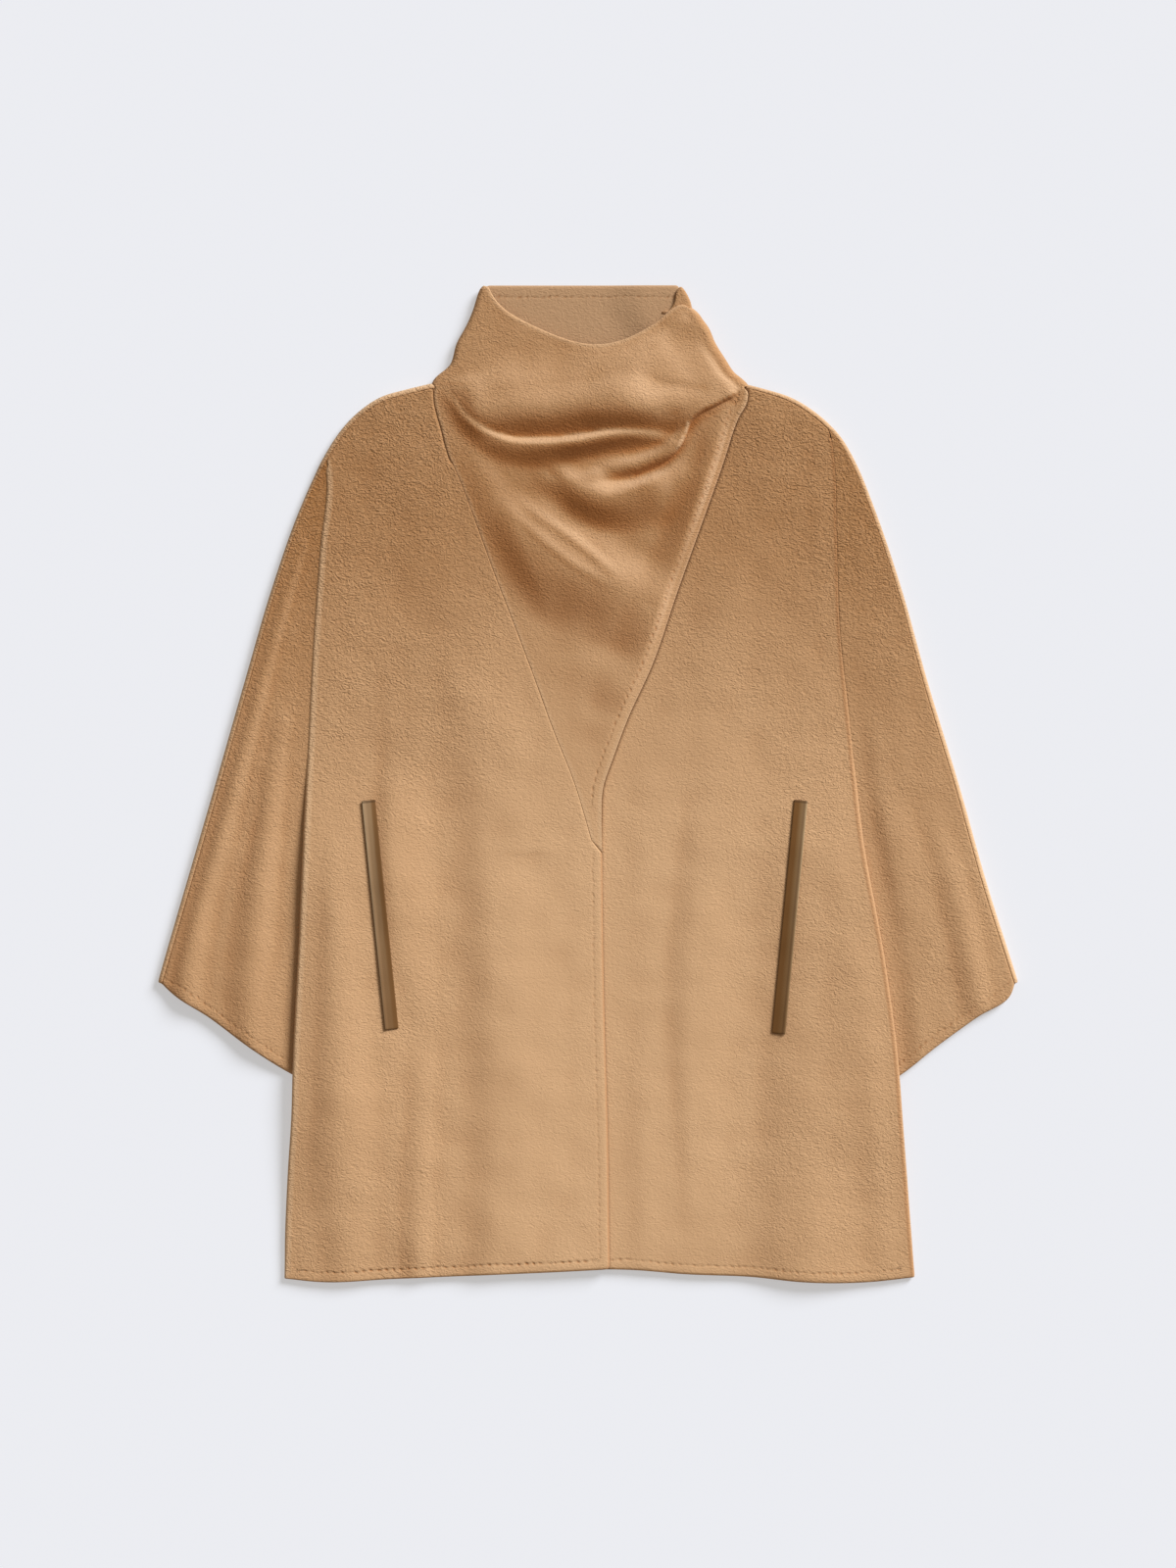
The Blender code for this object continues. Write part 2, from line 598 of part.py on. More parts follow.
def sleeve_plan(side, bend, inner_x):
    """Plan of one half of a sleeve from the armhole down to the cuff.

    It reaches from inside the outline by bend to the line given by inner_x.
    """
    levels = np.array(SLEEVE_LEVELS[side], dtype=float)
    inner = np.stack([inner_x(levels), levels], axis=-1)
    outline = OUTLINE[side]
    tip_y, end_y = outline.at([outline.share_near(SIDE[side].points[0]), 1.0])[:, 1]
    drop = (levels[0] - levels) / (levels[0] - levels[-1])
    facets = Line(outline.on_levels(tip_y + drop * (end_y - tip_y)), smooth=False)
    outer = facets.moved(-OUTWARD[side] * bend)
    edge = outer.points.copy()
    fine = outer.at(np.linspace(0, 1, 4001))
    past = OUTWARD[side] * (fine[:, 0] - inner_x(fine[:, 1])) > 0
    edge[0] = fine[np.argmax(past)]
    armhole_y = np.linspace(edge[0, 1], levels[0], SLEEVE_COLUMNS + 1)
    armhole = np.stack([inner_x(armhole_y), armhole_y], axis=-1)
    armhole[0] = edge[0]
    cuff = Line([edge[-1], *CUFF[side][1:-1], inner[-1]]).at(np.linspace(0, 1, SLEEVE_COLUMNS + 1))
    return patch(armhole, cuff, edge, inner)


def sleeve_back(side, material):
    body = Line(back_side(side), smooth=False)

    def inner_x(y):
        tucked = SIDE[side].x_at(y) + OUTWARD[side] * np.minimum(side_value(side, y, 3), -SIDE_TAIL)
        beside_tip = body.x_at(y) + OUTWARD[side] * (SEAM + SLACK)
        return np.where(y > SIDE_LEVELS[side][1], beside_tip, tucked)

    grid = raised(sleeve_plan(side, SHOULDER_BEND, inner_x), lambda x, y: np.full(np.shape(x), GROUND))
    edge = grid[:, 0]
    radius = (sleeve_height(side, edge[:, 0], edge[:, 1]) - GROUND) / 2
    strip = roll(edge, outward_normals(edge, (OUTWARD[side], 0)), radius, 180, SHOULDER_TAIL, 1)
    return cloth(f"sleeve_{side}_back", [grid, strip], material)


def sleeve_front(side, material):
    def inner_x(y):
        return SIDE[side].x_at(y) + OUTWARD[side] * side_value(side, y, 3)

    bend = SHOULDER_BEND + SHOULDER_TAIL + SEAM
    grid = raised(sleeve_plan(side, bend, inner_x), lambda x, y: sleeve_height(side, x, y))
    return cloth(f"sleeve_{side}_front", [grid], material)


def collar_side(side):
    """Points down the wrap's fold at one side of the collar, to the neck."""
    bend = RIGHT_BEND if side == "right" else LEFT_BEND
    return bend.on_levels(np.linspace(bend.points[0, 1], NECK_Y, COLLAR_ROWS + 1))


def under_side():
    """Points down the under collar's fold: its lobe over the wrap's edge, then inside the wrap's fold."""
    inside = Line(collar_side("left"), smooth=False).moved(-FOLD_CLEARANCE).points
    inside[-1, 1] = NECK_Y + FOLD_LIFT
    return np.vstack([UNDER_LOBE, inside])


def fold_strip(edge, side, radius, tail, ends=()):
    """The cloth of a collar turned down and under at a side fold, with its direction given at some rows."""
    outward = outward_normals(edge, (OUTWARD[side], 0))
    for row, direction in ends:
        outward[row] = np.array(direction) / np.hypot(*direction)
    return roll(edge, outward, radius, 180, tail, -1)


def collar_back(material):
    right = Line(collar_side("right"), smooth=False).moved(COLLAR_TAIL + SEAM).points
    left = Line(under_side(), smooth=False).moved(-(SHOULDER_TAIL + SEAM)).points
    extra = len(UNDER_LOBE) + 1
    right = np.vstack([(right[0, 0], COLLAR_TOP), split(right[:extra], 2), right[extra:]])
    left = np.vstack([(left[0, 0], COLLAR_TOP), left])
    right[-1] = collar_side("right")[-1] + (COLLAR_TAIL + SEAM + SLACK, 0)
    left[-1, 1] = NECK_Y
    top, bottom = (np.linspace(right[row], left[row], COLLAR_COLUMNS + 1) for row in (0, -1))
    grid = raised(patch(top, bottom, right, left), back_height)
    return cloth("collar_back", [grid], material)


def collar_wrap(material):
    right, left = collar_side("right"), collar_side("left")
    top = Line([right[0], *WRAP_TOP, left[0]]).at(np.linspace(0, 1, COLLAR_COLUMNS + 1))
    neck = np.linspace(right[-1], left[-1], COLLAR_COLUMNS + 1)
    collar = raised(patch(top, neck, right, left), wrap_height)
    seam = split(SEAM_LINE.on_levels(SEAM_LEVELS), 2) + SEAM / 2
    seam[0] = neck[0]
    levels = np.linspace(NECK_Y, TIP_END[1], len(seam))
    levels[1] = FREE_EDGE[0][1]
    edge = FREE_LINE.on_levels(levels)
    edge[0] = neck[-1]
    tip = np.linspace(seam[-1], edge[-1], COLLAR_COLUMNS + 1)
    point = raised(patch(neck, tip, seam, edge), wrap_height)
    strips = [
        fold_strip(collar[:, 0], "right", OVER / 2, COLLAR_TAIL, [(-1, (-1.0, 0.0))]),
        fold_strip(collar[:, -1], "left", WRAP_ROLL, WRAP_TAIL, [(0, (1.0, 0.1))]),
    ]
    return cloth("collar_wrap", [collar, point] + strips, material)


def collar_under(material):
    left = under_side()
    free = Line(UNDER_FREE)
    right = free.on_levels(np.linspace(UNDER_TOP[0][1], NECK_Y, len(left)))
    top = Line([*UNDER_TOP[:-1], left[0]]).at(np.linspace(0, 1, UNDER_COLUMNS + 1))
    neck = np.linspace(right[-1], left[-1], UNDER_COLUMNS + 1)
    collar = raised(patch(top, neck, right, left), under_height)
    seam = under_seam() - (SEAM / 2, 0)
    inner = free.on_levels(SEAM_LEVELS)
    seam[0] = neck[-1]
    bottom = np.linspace(inner[-1], seam[-1], UNDER_COLUMNS + 1)
    point = raised(patch(neck, bottom, inner, seam), under_height)
    strip = fold_strip(collar[:, -1], "left", UNDER / 2, SHOULDER_TAIL)
    return cloth("collar_under", [collar, point, strip], material)


def welt(name, panel, ends):
    """A leather strip lying on a front panel, set on the panel's own facets."""
    rows, columns = panel.shape[:2]
    faces = [
        (r * columns + c, r * columns + c + 1, (r + 1) * columns + c + 1, (r + 1) * columns + c)
        for r in range(rows - 1)
        for c in range(columns - 1)
    ]
    surface = BVHTree.FromPolygons([tuple(point) for point in panel.reshape(-1, 3)], faces)
    top, bottom = (np.array(end) for end in ends)
    along = (bottom - top) / np.linalg.norm(bottom - top)
    across = np.array((-along[1], along[0])) * WELT_WIDTH / 2
    plan = patch(
        np.linspace(top - across, top + across, 3),
        np.linspace(bottom - across, bottom + across, 3),
        np.linspace(top - across, bottom - across, WELT_ROWS + 1),
        np.linspace(top + across, bottom + across, WELT_ROWS + 1),
    )
    lift = CLOTH / 2 + SEAM + LEATHER / 2
    reach = np.linalg.norm(bottom - top) / (len(plan) - 1) / 2
    grid = np.concatenate([plan, np.zeros(plan.shape[:2] + (1,))], axis=-1)
    for point in grid.reshape(-1, 3):
        around = [point[:2] + along * step for step in (-reach, 0.0, reach)]
        point[2] = lift + max(surface.ray_cast((*spot, 100.0), (0.0, 0.0, -1.0))[0][2] for spot in around)
    return cloth(name, [grid], finish("welt_leather"), LEATHER)


MATERIAL_COLOURS = {
    "camel_wool": ((0.42, 0.245, 0.115, 1.0), 0.9),
    "welt_leather": ((0.17, 0.105, 0.055, 1.0), 0.55),
}


def finish(name):
    colour, roughness = MATERIAL_COLOURS[name]
    material = bpy.data.materials.new(name)
    material.use_nodes = True
    shader = material.node_tree.nodes["Principled BSDF"]
    shader.inputs["Base Color"].default_value = colour
    shader.inputs["Roughness"].default_value = roughness
    shader.inputs["Metallic"].default_value = 0.0
    return material


def main():
    for thing in list(bpy.data.objects):
        bpy.data.objects.remove(thing)
    bpy.context.scene.collection.children.link(bpy.data.collections.new("wool_cape"))
    for make in (back, front_right, front_left, collar_back, collar_wrap, collar_under):
        make(finish("camel_wool"))
    for side in ("right", "left"):
        sleeve_back(side, finish("camel_wool"))
        sleeve_front(side, finish("camel_wool"))


main()
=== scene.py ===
import math
from functools import partial

import bmesh
import bpy
import numpy as np
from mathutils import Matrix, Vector
from mathutils.bvhtree import BVHTree


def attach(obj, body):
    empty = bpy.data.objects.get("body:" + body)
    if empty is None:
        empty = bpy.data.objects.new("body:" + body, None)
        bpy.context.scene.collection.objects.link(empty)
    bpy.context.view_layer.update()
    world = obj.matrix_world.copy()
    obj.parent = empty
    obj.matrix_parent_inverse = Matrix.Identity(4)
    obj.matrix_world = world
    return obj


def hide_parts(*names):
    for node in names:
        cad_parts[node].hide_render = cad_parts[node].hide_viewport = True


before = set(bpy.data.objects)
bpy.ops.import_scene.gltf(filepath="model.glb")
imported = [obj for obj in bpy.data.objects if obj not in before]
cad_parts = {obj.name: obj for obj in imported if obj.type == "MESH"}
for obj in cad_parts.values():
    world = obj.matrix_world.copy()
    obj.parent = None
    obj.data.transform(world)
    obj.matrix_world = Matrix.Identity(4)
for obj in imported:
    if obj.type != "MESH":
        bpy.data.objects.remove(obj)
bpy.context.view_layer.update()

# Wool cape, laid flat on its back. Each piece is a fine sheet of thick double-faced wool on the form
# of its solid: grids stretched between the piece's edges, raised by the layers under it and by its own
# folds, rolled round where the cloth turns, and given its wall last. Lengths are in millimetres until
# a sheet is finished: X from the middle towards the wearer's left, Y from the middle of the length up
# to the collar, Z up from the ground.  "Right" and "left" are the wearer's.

MM = 0.001
SIDES = ("right", "left")
OUTWARD = {"right": -1, "left": 1}  # sign of X towards the outside

# Walls and layers
CLOTH = 2.4  # wall of the wool
LEATHER = 1.2  # wall of a pocket welt
SEAM = 0.04  # gap between pieces
SEWN = 0.45  # how far two sewn edges that show are pressed into each other
SLACK = 0.1  # added to a seam where its two sides don't run parallel
GROUND = CLOTH / 2  # middle of a layer that lies on the ground
LOFT = 4.4  # back to front, middle to middle, where the garment lies loose
UNDER = 3.2  # back to a layer that something else covers
OVER = 6.1  # back to the layer that covers it
SLEEVE_LIFT = 5.7  # how far the body lies up on the tucked sleeve
TAIL_LIFT = 3.0  # how far the collar's back lies up on the wrap's tail
HEM_SETTLE = 1.0  # how much closer front and back lie at a hem

# Where a layer changes its height: start and end of each soft step
SLEEVE_STEP_IN = (18, 130)  # inside the side line, from the tucked sleeve down to the ground
SLEEVE_STEP_TOP = (-40, 90)  # below the middle of the length, up onto the sleeve
SLEEVE_STEP_BOTTOM = (262, 392)  # and down again, past the cuff
TAIL_STEP_IN = (75, 37)  # inside the collar's left fold, up onto the wrap's tail
TAIL_STEP_OUT = (8, 50)  # outside it, on the shoulder
TAIL_STEP_DOWN = (14, 70)  # below the neck seam
EDGE_STEP = (0, 26)  # inside the side line, from the front's raised edge down
OVER_STEP = (35, 95)  # from the centre edge into the right front
UNDER_STEP = (4, 55)  # from the wrap's free edge into the left front
HEM_STEP = (385, 425)  # below the middle of the length, to the hem
SLEEVE_SWELL = (6, 50)  # from the side line out, where the sleeve's two halves lie looser
LOBE_STEP = (385, 410)  # up the under collar, to its lobe
LOBE_SETTLE = 0.78  # how much closer the under collar's lobe lies to the collar's back at its top
CUFF_STEP = (40, 0)  # above the cuff, down to it
CUFF_SETTLE = 0.3  # share of a sleeve's loft that is lost at the cuff
SEAM_FILL = 0.2  # how much higher the right front's edge lies at the wrap seam near the neck
SEAM_FILL_FROM = (285, 305)  # above the middle of the length
SEAM_FILL_FADE = (1, 9)  # inside the seam
RIM_SETTLE = 2.0  # how far the wrap's top lies down on the under collar
RIM_STEP = (1, 17)  # below the wrap's top
RIM_START = (30, 62)  # from the middle towards the wearer's left

# How far inside a line the folds and waves beside it start, and where they have risen
SIDE_CALM = (3, 24)  # the body's side line
INNER_CALM = {"right": (2, 22), "left": (6, 30)}  # a front's inner edge, as far as it shows
SEAM_CALM = (0, 36)  # the wrap's seam
EDGE_CALM = (1, 12)  # the wrap's free edge
TUCK_CALM = (6, 26)  # on a sleeve, outside the body's side line
OUTLINE_CALM = (5, 20)  # the sleeve's outer fold

# Rolled folds
ROLL_STEPS = 6  # facets of a roll
SHOULDER_ROLL = 2.2  # radius of the shoulder and sleeve folds
SHOULDER_BEND = SHOULDER_ROLL + CLOTH / 2  # from the outline to where they start to turn
SHOULDER_TAIL = 0.8  # how far the back's cloth shows past its roll
SIDE_TAIL_START = 0.3  # how far the front's cloth goes past its turn, where it only lies on the sleeve
SIDE_TAIL = 2.0  # how far the front's cloth reaches under at the side
SIDE_TAIL_TURN = (120, 180)  # degrees turned where the tail starts to grow from the first to the second
COLLAR_TAIL = 0.6  # how far the wrap's cloth goes past its fold on the wearer's right
FOLD_CLEARANCE = 0.35  # between the nested folds of wrap and under collar, in the plan
FOLD_LIFT = 0.9  # how far above the neck seam the under collar's fold ends
WRAP_TAIL = 25.0  # hidden end of the wrap behind the neck
WRAP_ROLL = (TAIL_LIFT + OVER) / 2  # radius of its fold over the under collar
WRAP_BEND = OVER / 2 + CLOTH / 2  # from the collar's right outline to where the wrap starts to turn
TURN_REACH = 12.0  # along which a fold's end turns to its given direction
LEAST_ROLL = 0.25  # share of its radius that a fold keeps at a rounded end
LOBE_ROUNDING = 6.0  # along which the under collar's fold gets narrower at its top
WRAP_ROUNDING = 9.0  # the same for the wrap's fold
TIP_TUCK = 4.0  # how far a sleeve's tip reaches in between the body's front and back

# Cells of the grids, before they are halved by the smoothing
CELL = 5.25  # fronts, sleeves and under collar
BACK_CELL = 10.0
COLLAR_CELL = 3.6  # the wrap below the neck
SHOULDER_COLUMNS = 56
BACK_SHOULDER_COLUMNS = 22
NECK_COLUMNS = 24
SLEEVE_COLUMNS = 32
COLLAR_COLUMNS = 78
COLLAR_ROWS = 26
UNDER_COLUMNS = 24
WELT_ROWS = 90
WELT_COLUMNS = 12
FINE_REACH = 7.2  # cells of the wrap that near its crease and its first fold are halved
OUTLINE_PARTS = 4000  # into which a sleeve's outline is cut to find its tip
MERGE_REACH = 0.01  # points of grids that near are one

# The garment's plan
NECK_Y = 343.4  # height of the neck seam
FRONT_NECK_Y = NECK_Y + SEWN / 2 - SHOULDER_TAIL  # where the fronts end below the back's rolled edge
COLLAR_TOP = 432.4  # height of the collar's back rim
TIP_CORNER = (4.0, -50.0)  # where the wrap seam turns out to the centre edge
TIP_END = (12.2, -60.0)  # where the wrap's point ends at the centre edge

# Outline from the neck over the shoulder and down the sleeve to the cuff
OUTLINE_RIGHT = (
    (-132.2, 347.3), (-155.6, 341.7), (-179.4, 334.9), (-191.3, 328.1), (-207.4, 314.5), (-218.5, 300.9),
    (-227.0, 287.3), (-234.6, 273.7), (-249.9, 239.7), (-273.7, 171.7), (-297.5, 90.1), (-324.7, -5.1),
    (-348.5, -86.7), (-373.4, -172.0),
)
OUTLINE_LEFT = (
    (134.6, 347.8), (157.3, 341.7), (176.8, 334.9), (188.7, 328.1), (206.6, 314.5), (219.3, 300.9),
    (227.8, 287.3), (234.6, 273.7), (248.2, 239.7), (271.2, 171.7), (294.1, 90.1), (323.0, -5.1),
    (346.0, -86.7), (373.4, -172.0),
)
# Line where the body's front edge starts to turn, from the shoulder tip to the hem
SIDE_RIGHT = (
    (-226.1, 279.5), (-224.4, 268.0), (-229.5, 205.0), (-234.6, 136.0), (-241.4, 0.0), (-247.4, -127.5),
    (-253.3, -249.0), (-254.2, -284.0), (-257.6, -338.0), (-260.1, -393.0), (-261.0, -429.0),
)
SIDE_LEFT = (
    (209.1, 305.5), (211.7, 287.0), (214.2, 212.5), (216.5, 136.0), (224.6, 51.0), (234.6, -42.5),
    (255.9, -161.5), (266.9, -249.0), (269.5, -284.0), (273.7, -338.0), (278.0, -393.0), (281.2, -428.0),
)
# Seam between the right front and the wrap, from the neck down
WRAP_SEAM = (
    (-134.4, 343.2), (-133.9, 340.0), (-133.5, 332.4), (-126.7, 306.0), (-121.6, 286.5), (-113.9, 268.6),
    (-79.9, 178.5), (-50.2, 102.0), (-29.8, 46.8), (-11.0, 0.0), (-2.6, -27.2), TIP_CORNER,
)
# The wrap's free edge, from the neck down
FREE_EDGE = (
    (139.0, 340.0), (137.7, 329.8), (130.9, 317.9), (125.0, 302.6), (120.7, 288.2), (113.9, 267.8),
    (102.0, 234.6), (78.2, 168.3), (55.3, 102.0), (34.0, 55.3), (21.3, 21.3), (12.8, -4.3), (11.6, -28.0),
    TIP_END,
)
# The right front's centre edge, and the left front's hidden one, down to the hem
CENTRE_EDGE = (TIP_END, (12.4, -85.0), (12.8, -127.5), (14.5, -212.5), (17.0, -297.5), (18.7, -420.8))
UNDER_EDGE = ((-6.0, TIP_END[1]), (-9.0, -85.0), (-11.0, -212.5), (-14.0, -420.8))
# Hems from the wearer's right to the left, and cuffs from the outer fold inwards
HEM_BACK = ((-120.0, -425.0), (0.0, -419.0), (120.0, -424.5))
HEM_INSET = 1.5  # how much shorter the back is than the fronts at the sides
HEM_RIGHT = (
    (-261.0, -429.0), (-233.0, -431.8), (-172.0, -429.3), (-91.0, -425.9), (-30.0, -423.3), (18.7, -420.8),
)
HEM_LEFT = (
    (-14.0, -420.8), (41.6, -421.6), (82.5, -425.0), (143.7, -427.6), (184.5, -431.8), (245.7, -431.8),
    (281.2, -428.0),
)
CUFF = {
    "right": (
        (-373.2, -175), (-360.4, -181.9), (-329, -202.3), (-292.4, -229.5), (-260.1, -250), (-236, -262.5),
    ),
    "left": (
        (373.2, -175), (367.2, -181.9), (337.5, -202.3), (300.1, -229.5), (274.6, -250), (250.5, -266),
    ),
}
# Funnel collar: its outlines down to the neck, and the wrap's top from the wearer's right to the left
COLLAR_RIGHT = (
    (-92.7, 432.9), (-96.1, 423.3), (-100.3, 409.7), (-106.3, 396.1), (-113.9, 382.5), (-120.7, 362.1),
    (-129.2, 355.3), (-135.4, 350.2), (-135.9, NECK_Y),
)
COLLAR_LEFT = (
    (92.6, 415.0), (95.6, 409.6), (99.5, 402.9), (104.6, 396.1), (110.5, 382.5), (119.0, 368.9),
    (128.4, 355.3), (137.6, 349.4), (140.4, NECK_Y),
)
WRAP_TOP = (
    (-86.4, 431.2), (-84.4, 426.8), (-81.7, 422.2), (-77.6, 416.6), (-71.8, 411.2), (-59.0, 403.0),
    (-44.3, 395.8), (-26.0, 388.0), (-7.0, 382.2), (8.0, 380.8), (26.0, 383.5), (43.0, 390.5),
    (60.4, 401.3), (71.0, 410.4), (76.5, 414.0), (81.0, 415.6), (84.8, 414.8),
)
# The under collar's lobe down its fold, and its top from the middle to the lobe
UNDER_LOBE = ((79.2, 430.6), (80.9, 428.0), (84.3, 421.9), (86.9, 416.2))
UNDER_TOP = (
    (-20.0, 368.0), (10.0, 372.0), (30.0, 378.0), (44.0, 387.0), (56.0, 397.6), (65.1, 405.6),
    (71.1, 411.2), (74.6, 415.8), (75.7, 420.2), (75.8, 425.0), (76.6, 429.0), UNDER_LOBE[0],
)
UNDER_SEAM_INSET = 12.0  # how far the under collar's seam lies inside the wrap's free edge
# Hidden free edge of the under collar, from its top down
UNDER_FREE = (
    UNDER_TOP[0], (-30.0, NECK_Y), (-38.0, 300.0), (-36.0, 200.0), (-22.0, 100.0), (-7.0, 20.0),
    (-8.0, -50.0),
)
# Pocket welts
WELT_ENDS = {  # top and bottom of the middle line
    "right": ((-190.2, -14.0), (-170.0, -212.5)),
    "left": ((184.3, -14.0), (165.0, -216.5)),
}
WELT_WIDTH = 12.0
WELT_TILT = 0.6  # how far a welt's outer edge stands over its inner one
WELT_LIP = 1.4  # width of the folded lip along the outer edge
WELT_LIP_RISE = 0.5  # how far the lip stands over the rest
ABOVE_ALL = 100.0  # height from which a front is looked down on, to find how high a welt lies

# How body and sleeve meet down the side, one row for each height:
# height, rise of the front's edge, degrees it turns over, start of the sleeve outside the front's edge line
# (under the body where it is less than nothing), the sleeve's height over its own back
SIDE_SECTIONS = {
    "right": (
        (282, 0.0, 25, 0.4, LOFT),
        (262, -0.2, 70, 1.4, 2.9),
        (235, -0.2, 70, -2.0, 2.9),
        (-30, -0.2, 70, -2.0, 2.9),
        (-75, -0.4, 155, -2.6, 2.9),
        (-105, -0.6, 180, -11.0, 2.9),
        (-135, -1.2, 180, -14.0, 2.9),
        (-270, -1.2, 180, -18.0, 2.9),
    ),
    "left": (
        (309, 0.0, 30, 1.2, LOFT),
        (136, 0.0, 30, 1.2, LOFT),
        (60, -0.6, 70, 1.6, 2.9),
        (30, -0.6, 70, -2.0, 2.9),
        (-30, -0.6, 70, -2.0, 2.9),
        (-75, -0.6, 155, -2.6, 2.9),
        (-105, -0.6, 180, -11.0, 2.9),
        (-135, -1.2, 180, -14.0, 2.9),
        (-270, -1.2, 180, -18.0, 2.9),
    ),
}
# Heights of the grid rows where they meet the side, and where they meet the wrap seam and centre edge
SIDE_LEVELS = {
    "right": (
        279.5, 271, 262, 248, 235, 205, 170, 135, 95, 55, 10, -30, -75, -105, -135, -180,
        -225, -290, -350, -400, -429,
    ),
    "left": (
        305.5, 285, 260, 230, 200, 168, 136, 110, 85, 60, 30, 0, -30, -75, -105, -135, -180,
        -225, -290, -360, -428,
    ),
}
SLEEVE_LEVELS = {  # of the rows below the armhole's tip
    "right": (248, 235, 205, 170, 135, 95, 55, 10, -30, -75, -105, -135, -180, -225, -262.5),
    "left": (260, 230, 200, 168, 136, 110, 85, 60, 30, 0, -30, -75, -105, -135, -180, -225, -266),
}
SEAM_LEVELS = (NECK_Y, 340, 332, 322, 306, 285, 255, 218, 175, 130, 80, 30, -12, TIP_CORNER[1])
CENTRE_LEVELS = (TIP_END[1], -105, -150, -205, -265, -340, -420.8)

# Folds, one line each from its start to its end, one row for each point of it: X, Y, rise, and how far the
# fold reaches on the left-hand side and on the right-hand side, looking along it
WRAP_FOLDS = (
    (  # the collar's drape, from the wearer's right to the left
        (-129.0, 350.7, 2, 30, 22), (-106.9, 336.5, 4.1, 38, 34), (-67.9, 334.4, 4.6, 43, 40),
        (-34.4, 330.3, 6.7, 50, 43), (18.0, 330.6, 9.7, 74, 52), (67.1, 336.9, 9.4, 66, 39),
        (98.0, 341.4, 1.8, 34, 22),
    ),
    (  # its lip over the first fold
        (-109.6, 340.1, 0, 20, 12), (-98.9, 322.0, 2.3, 24, 18), (-59.3, 318.5, 3.9, 27, 22),
        (-8.9, 323.5, 3.6, 28, 21), (43.5, 324.5, 5.6, 33, 26), (75.1, 319.9, 0.9, 20, 15),
    ),
    (  # first fold
        (-130.0, 343.4, 0.8, 6, 10), (-118.1, 330.6, 1.9, 6, 10), (-108.0, 316.2, 2.6, 7, 13),
        (-90.1, 303.4, 3.2, 7, 17), (-66.3, 295.4, 5.2, 7, 21), (-36.5, 293.7, 8, 8, 21),
        (-11.0, 295.8, 8.8, 8, 16), (18.7, 300.9, 6, 8, 13), (47.6, 301.8, 3.2, 8, 11),
        (76.5, 298.3, 0, 7, 9),
    ),
    (  # bulge in the middle, its lower lobe
        (-34.0, 270.3, 0, 16, 16), (-15.3, 259.2, 5.2, 18, 24), (3.4, 249.9, 8.8, 27, 29),
        (22.1, 248.2, 8.8, 22, 32), (39.1, 254.2, 8.8, 13, 38), (54.4, 260.1, 8.7, 11, 38),
        (71.4, 270.3, 5.2, 10, 28), (80.8, 283.1, 2.4, 9, 18), (87.5, 297.5, 1.2, 8, 12),
        (98.6, 314.5, 0, 8, 12),
    ),
    (  # its upper lobe
        (-17.0, 266.9, 0, 13, 10), (3.4, 268.6, 2, 16, 10), (25.5, 272.0, 4.4, 16, 9),
        (42.5, 276.2, 5.4, 13, 9), (55.2, 281.3, 5, 12, 8), (68.8, 289.0, 3.2, 11, 8),
        (81.6, 300.1, 0, 9, 7),
    ),
    (  # broad fold across the chest
        (-122.1, 309.3, 0.2, 20, 20), (-113.7, 282.5, 1, 27, 26), (-101.1, 257.6, 2.8, 32, 30),
        (-82.0, 229.0, 4.2, 41, 44), (-48.4, 206.6, 6.6, 53, 55), (-14.0, 185.8, 7.2, 47, 56),
        (22.8, 171.6, 6.9, 43, 56), (55.9, 155.0, 3.3, 38, 50),
    ),
    (  # upper one of two fine creases on it
        (-64.6, 249.9, 0, 8, 5), (-44.8, 233.2, 0.5, 8, 6), (-22.3, 218.3, 1, 8, 6),
        (-3.7, 204.4, 1.1, 8, 6), (14.5, 188.9, 0.7, 8, 6), (27.2, 176.8, 0, 8, 6),
    ),
    (  # lower one
        (-69.7, 238.0, 0, 7, 5), (-51.1, 220.9, 0.4, 7, 5), (-32.8, 205.0, 0.6, 7, 5),
        (-12.6, 190.1, 0.6, 7, 5), (6.3, 178.2, 0.4, 7, 5), (25.6, 168.2, 0, 7, 5),
    ),
    (  # collar's slanting fold
        (11.4, 328.4, 0.3, 24, 22), (21.4, 339.7, 2.0, 26, 24), (33.1, 353.6, 2.6, 28, 25),
        (43.0, 367.5, 2.1, 26, 23), (54.7, 377.6, 0.8, 22, 20),
    ),
    (  # cloth towards the free edge
        (121.5, 319.6, 0.5, 8, 14), (114.8, 290.7, 5.2, 8, 32), (107.1, 266.9, 7.0, 8, 36),
        (95.2, 234.6, 6.0, 8, 31), (84.1, 204.0, 3.8, 10, 28), (73.1, 170.0, 2, 12, 34),
        (51.9, 102.0, 2.6, 14, 40), (28.9, 46.8, 1.1, 12, 34), (9.3, 0.0, 0, 9, 20),
    ),
    (  # low fold across the point
        (-51.0, 135.8, 0, 24, 24), (-16.7, 109.3, 0.3, 30, 29), (22.0, 86.9, 1.2, 30, 29),
        (46.8, 74.6, 0.4, 24, 24),
    ),
)
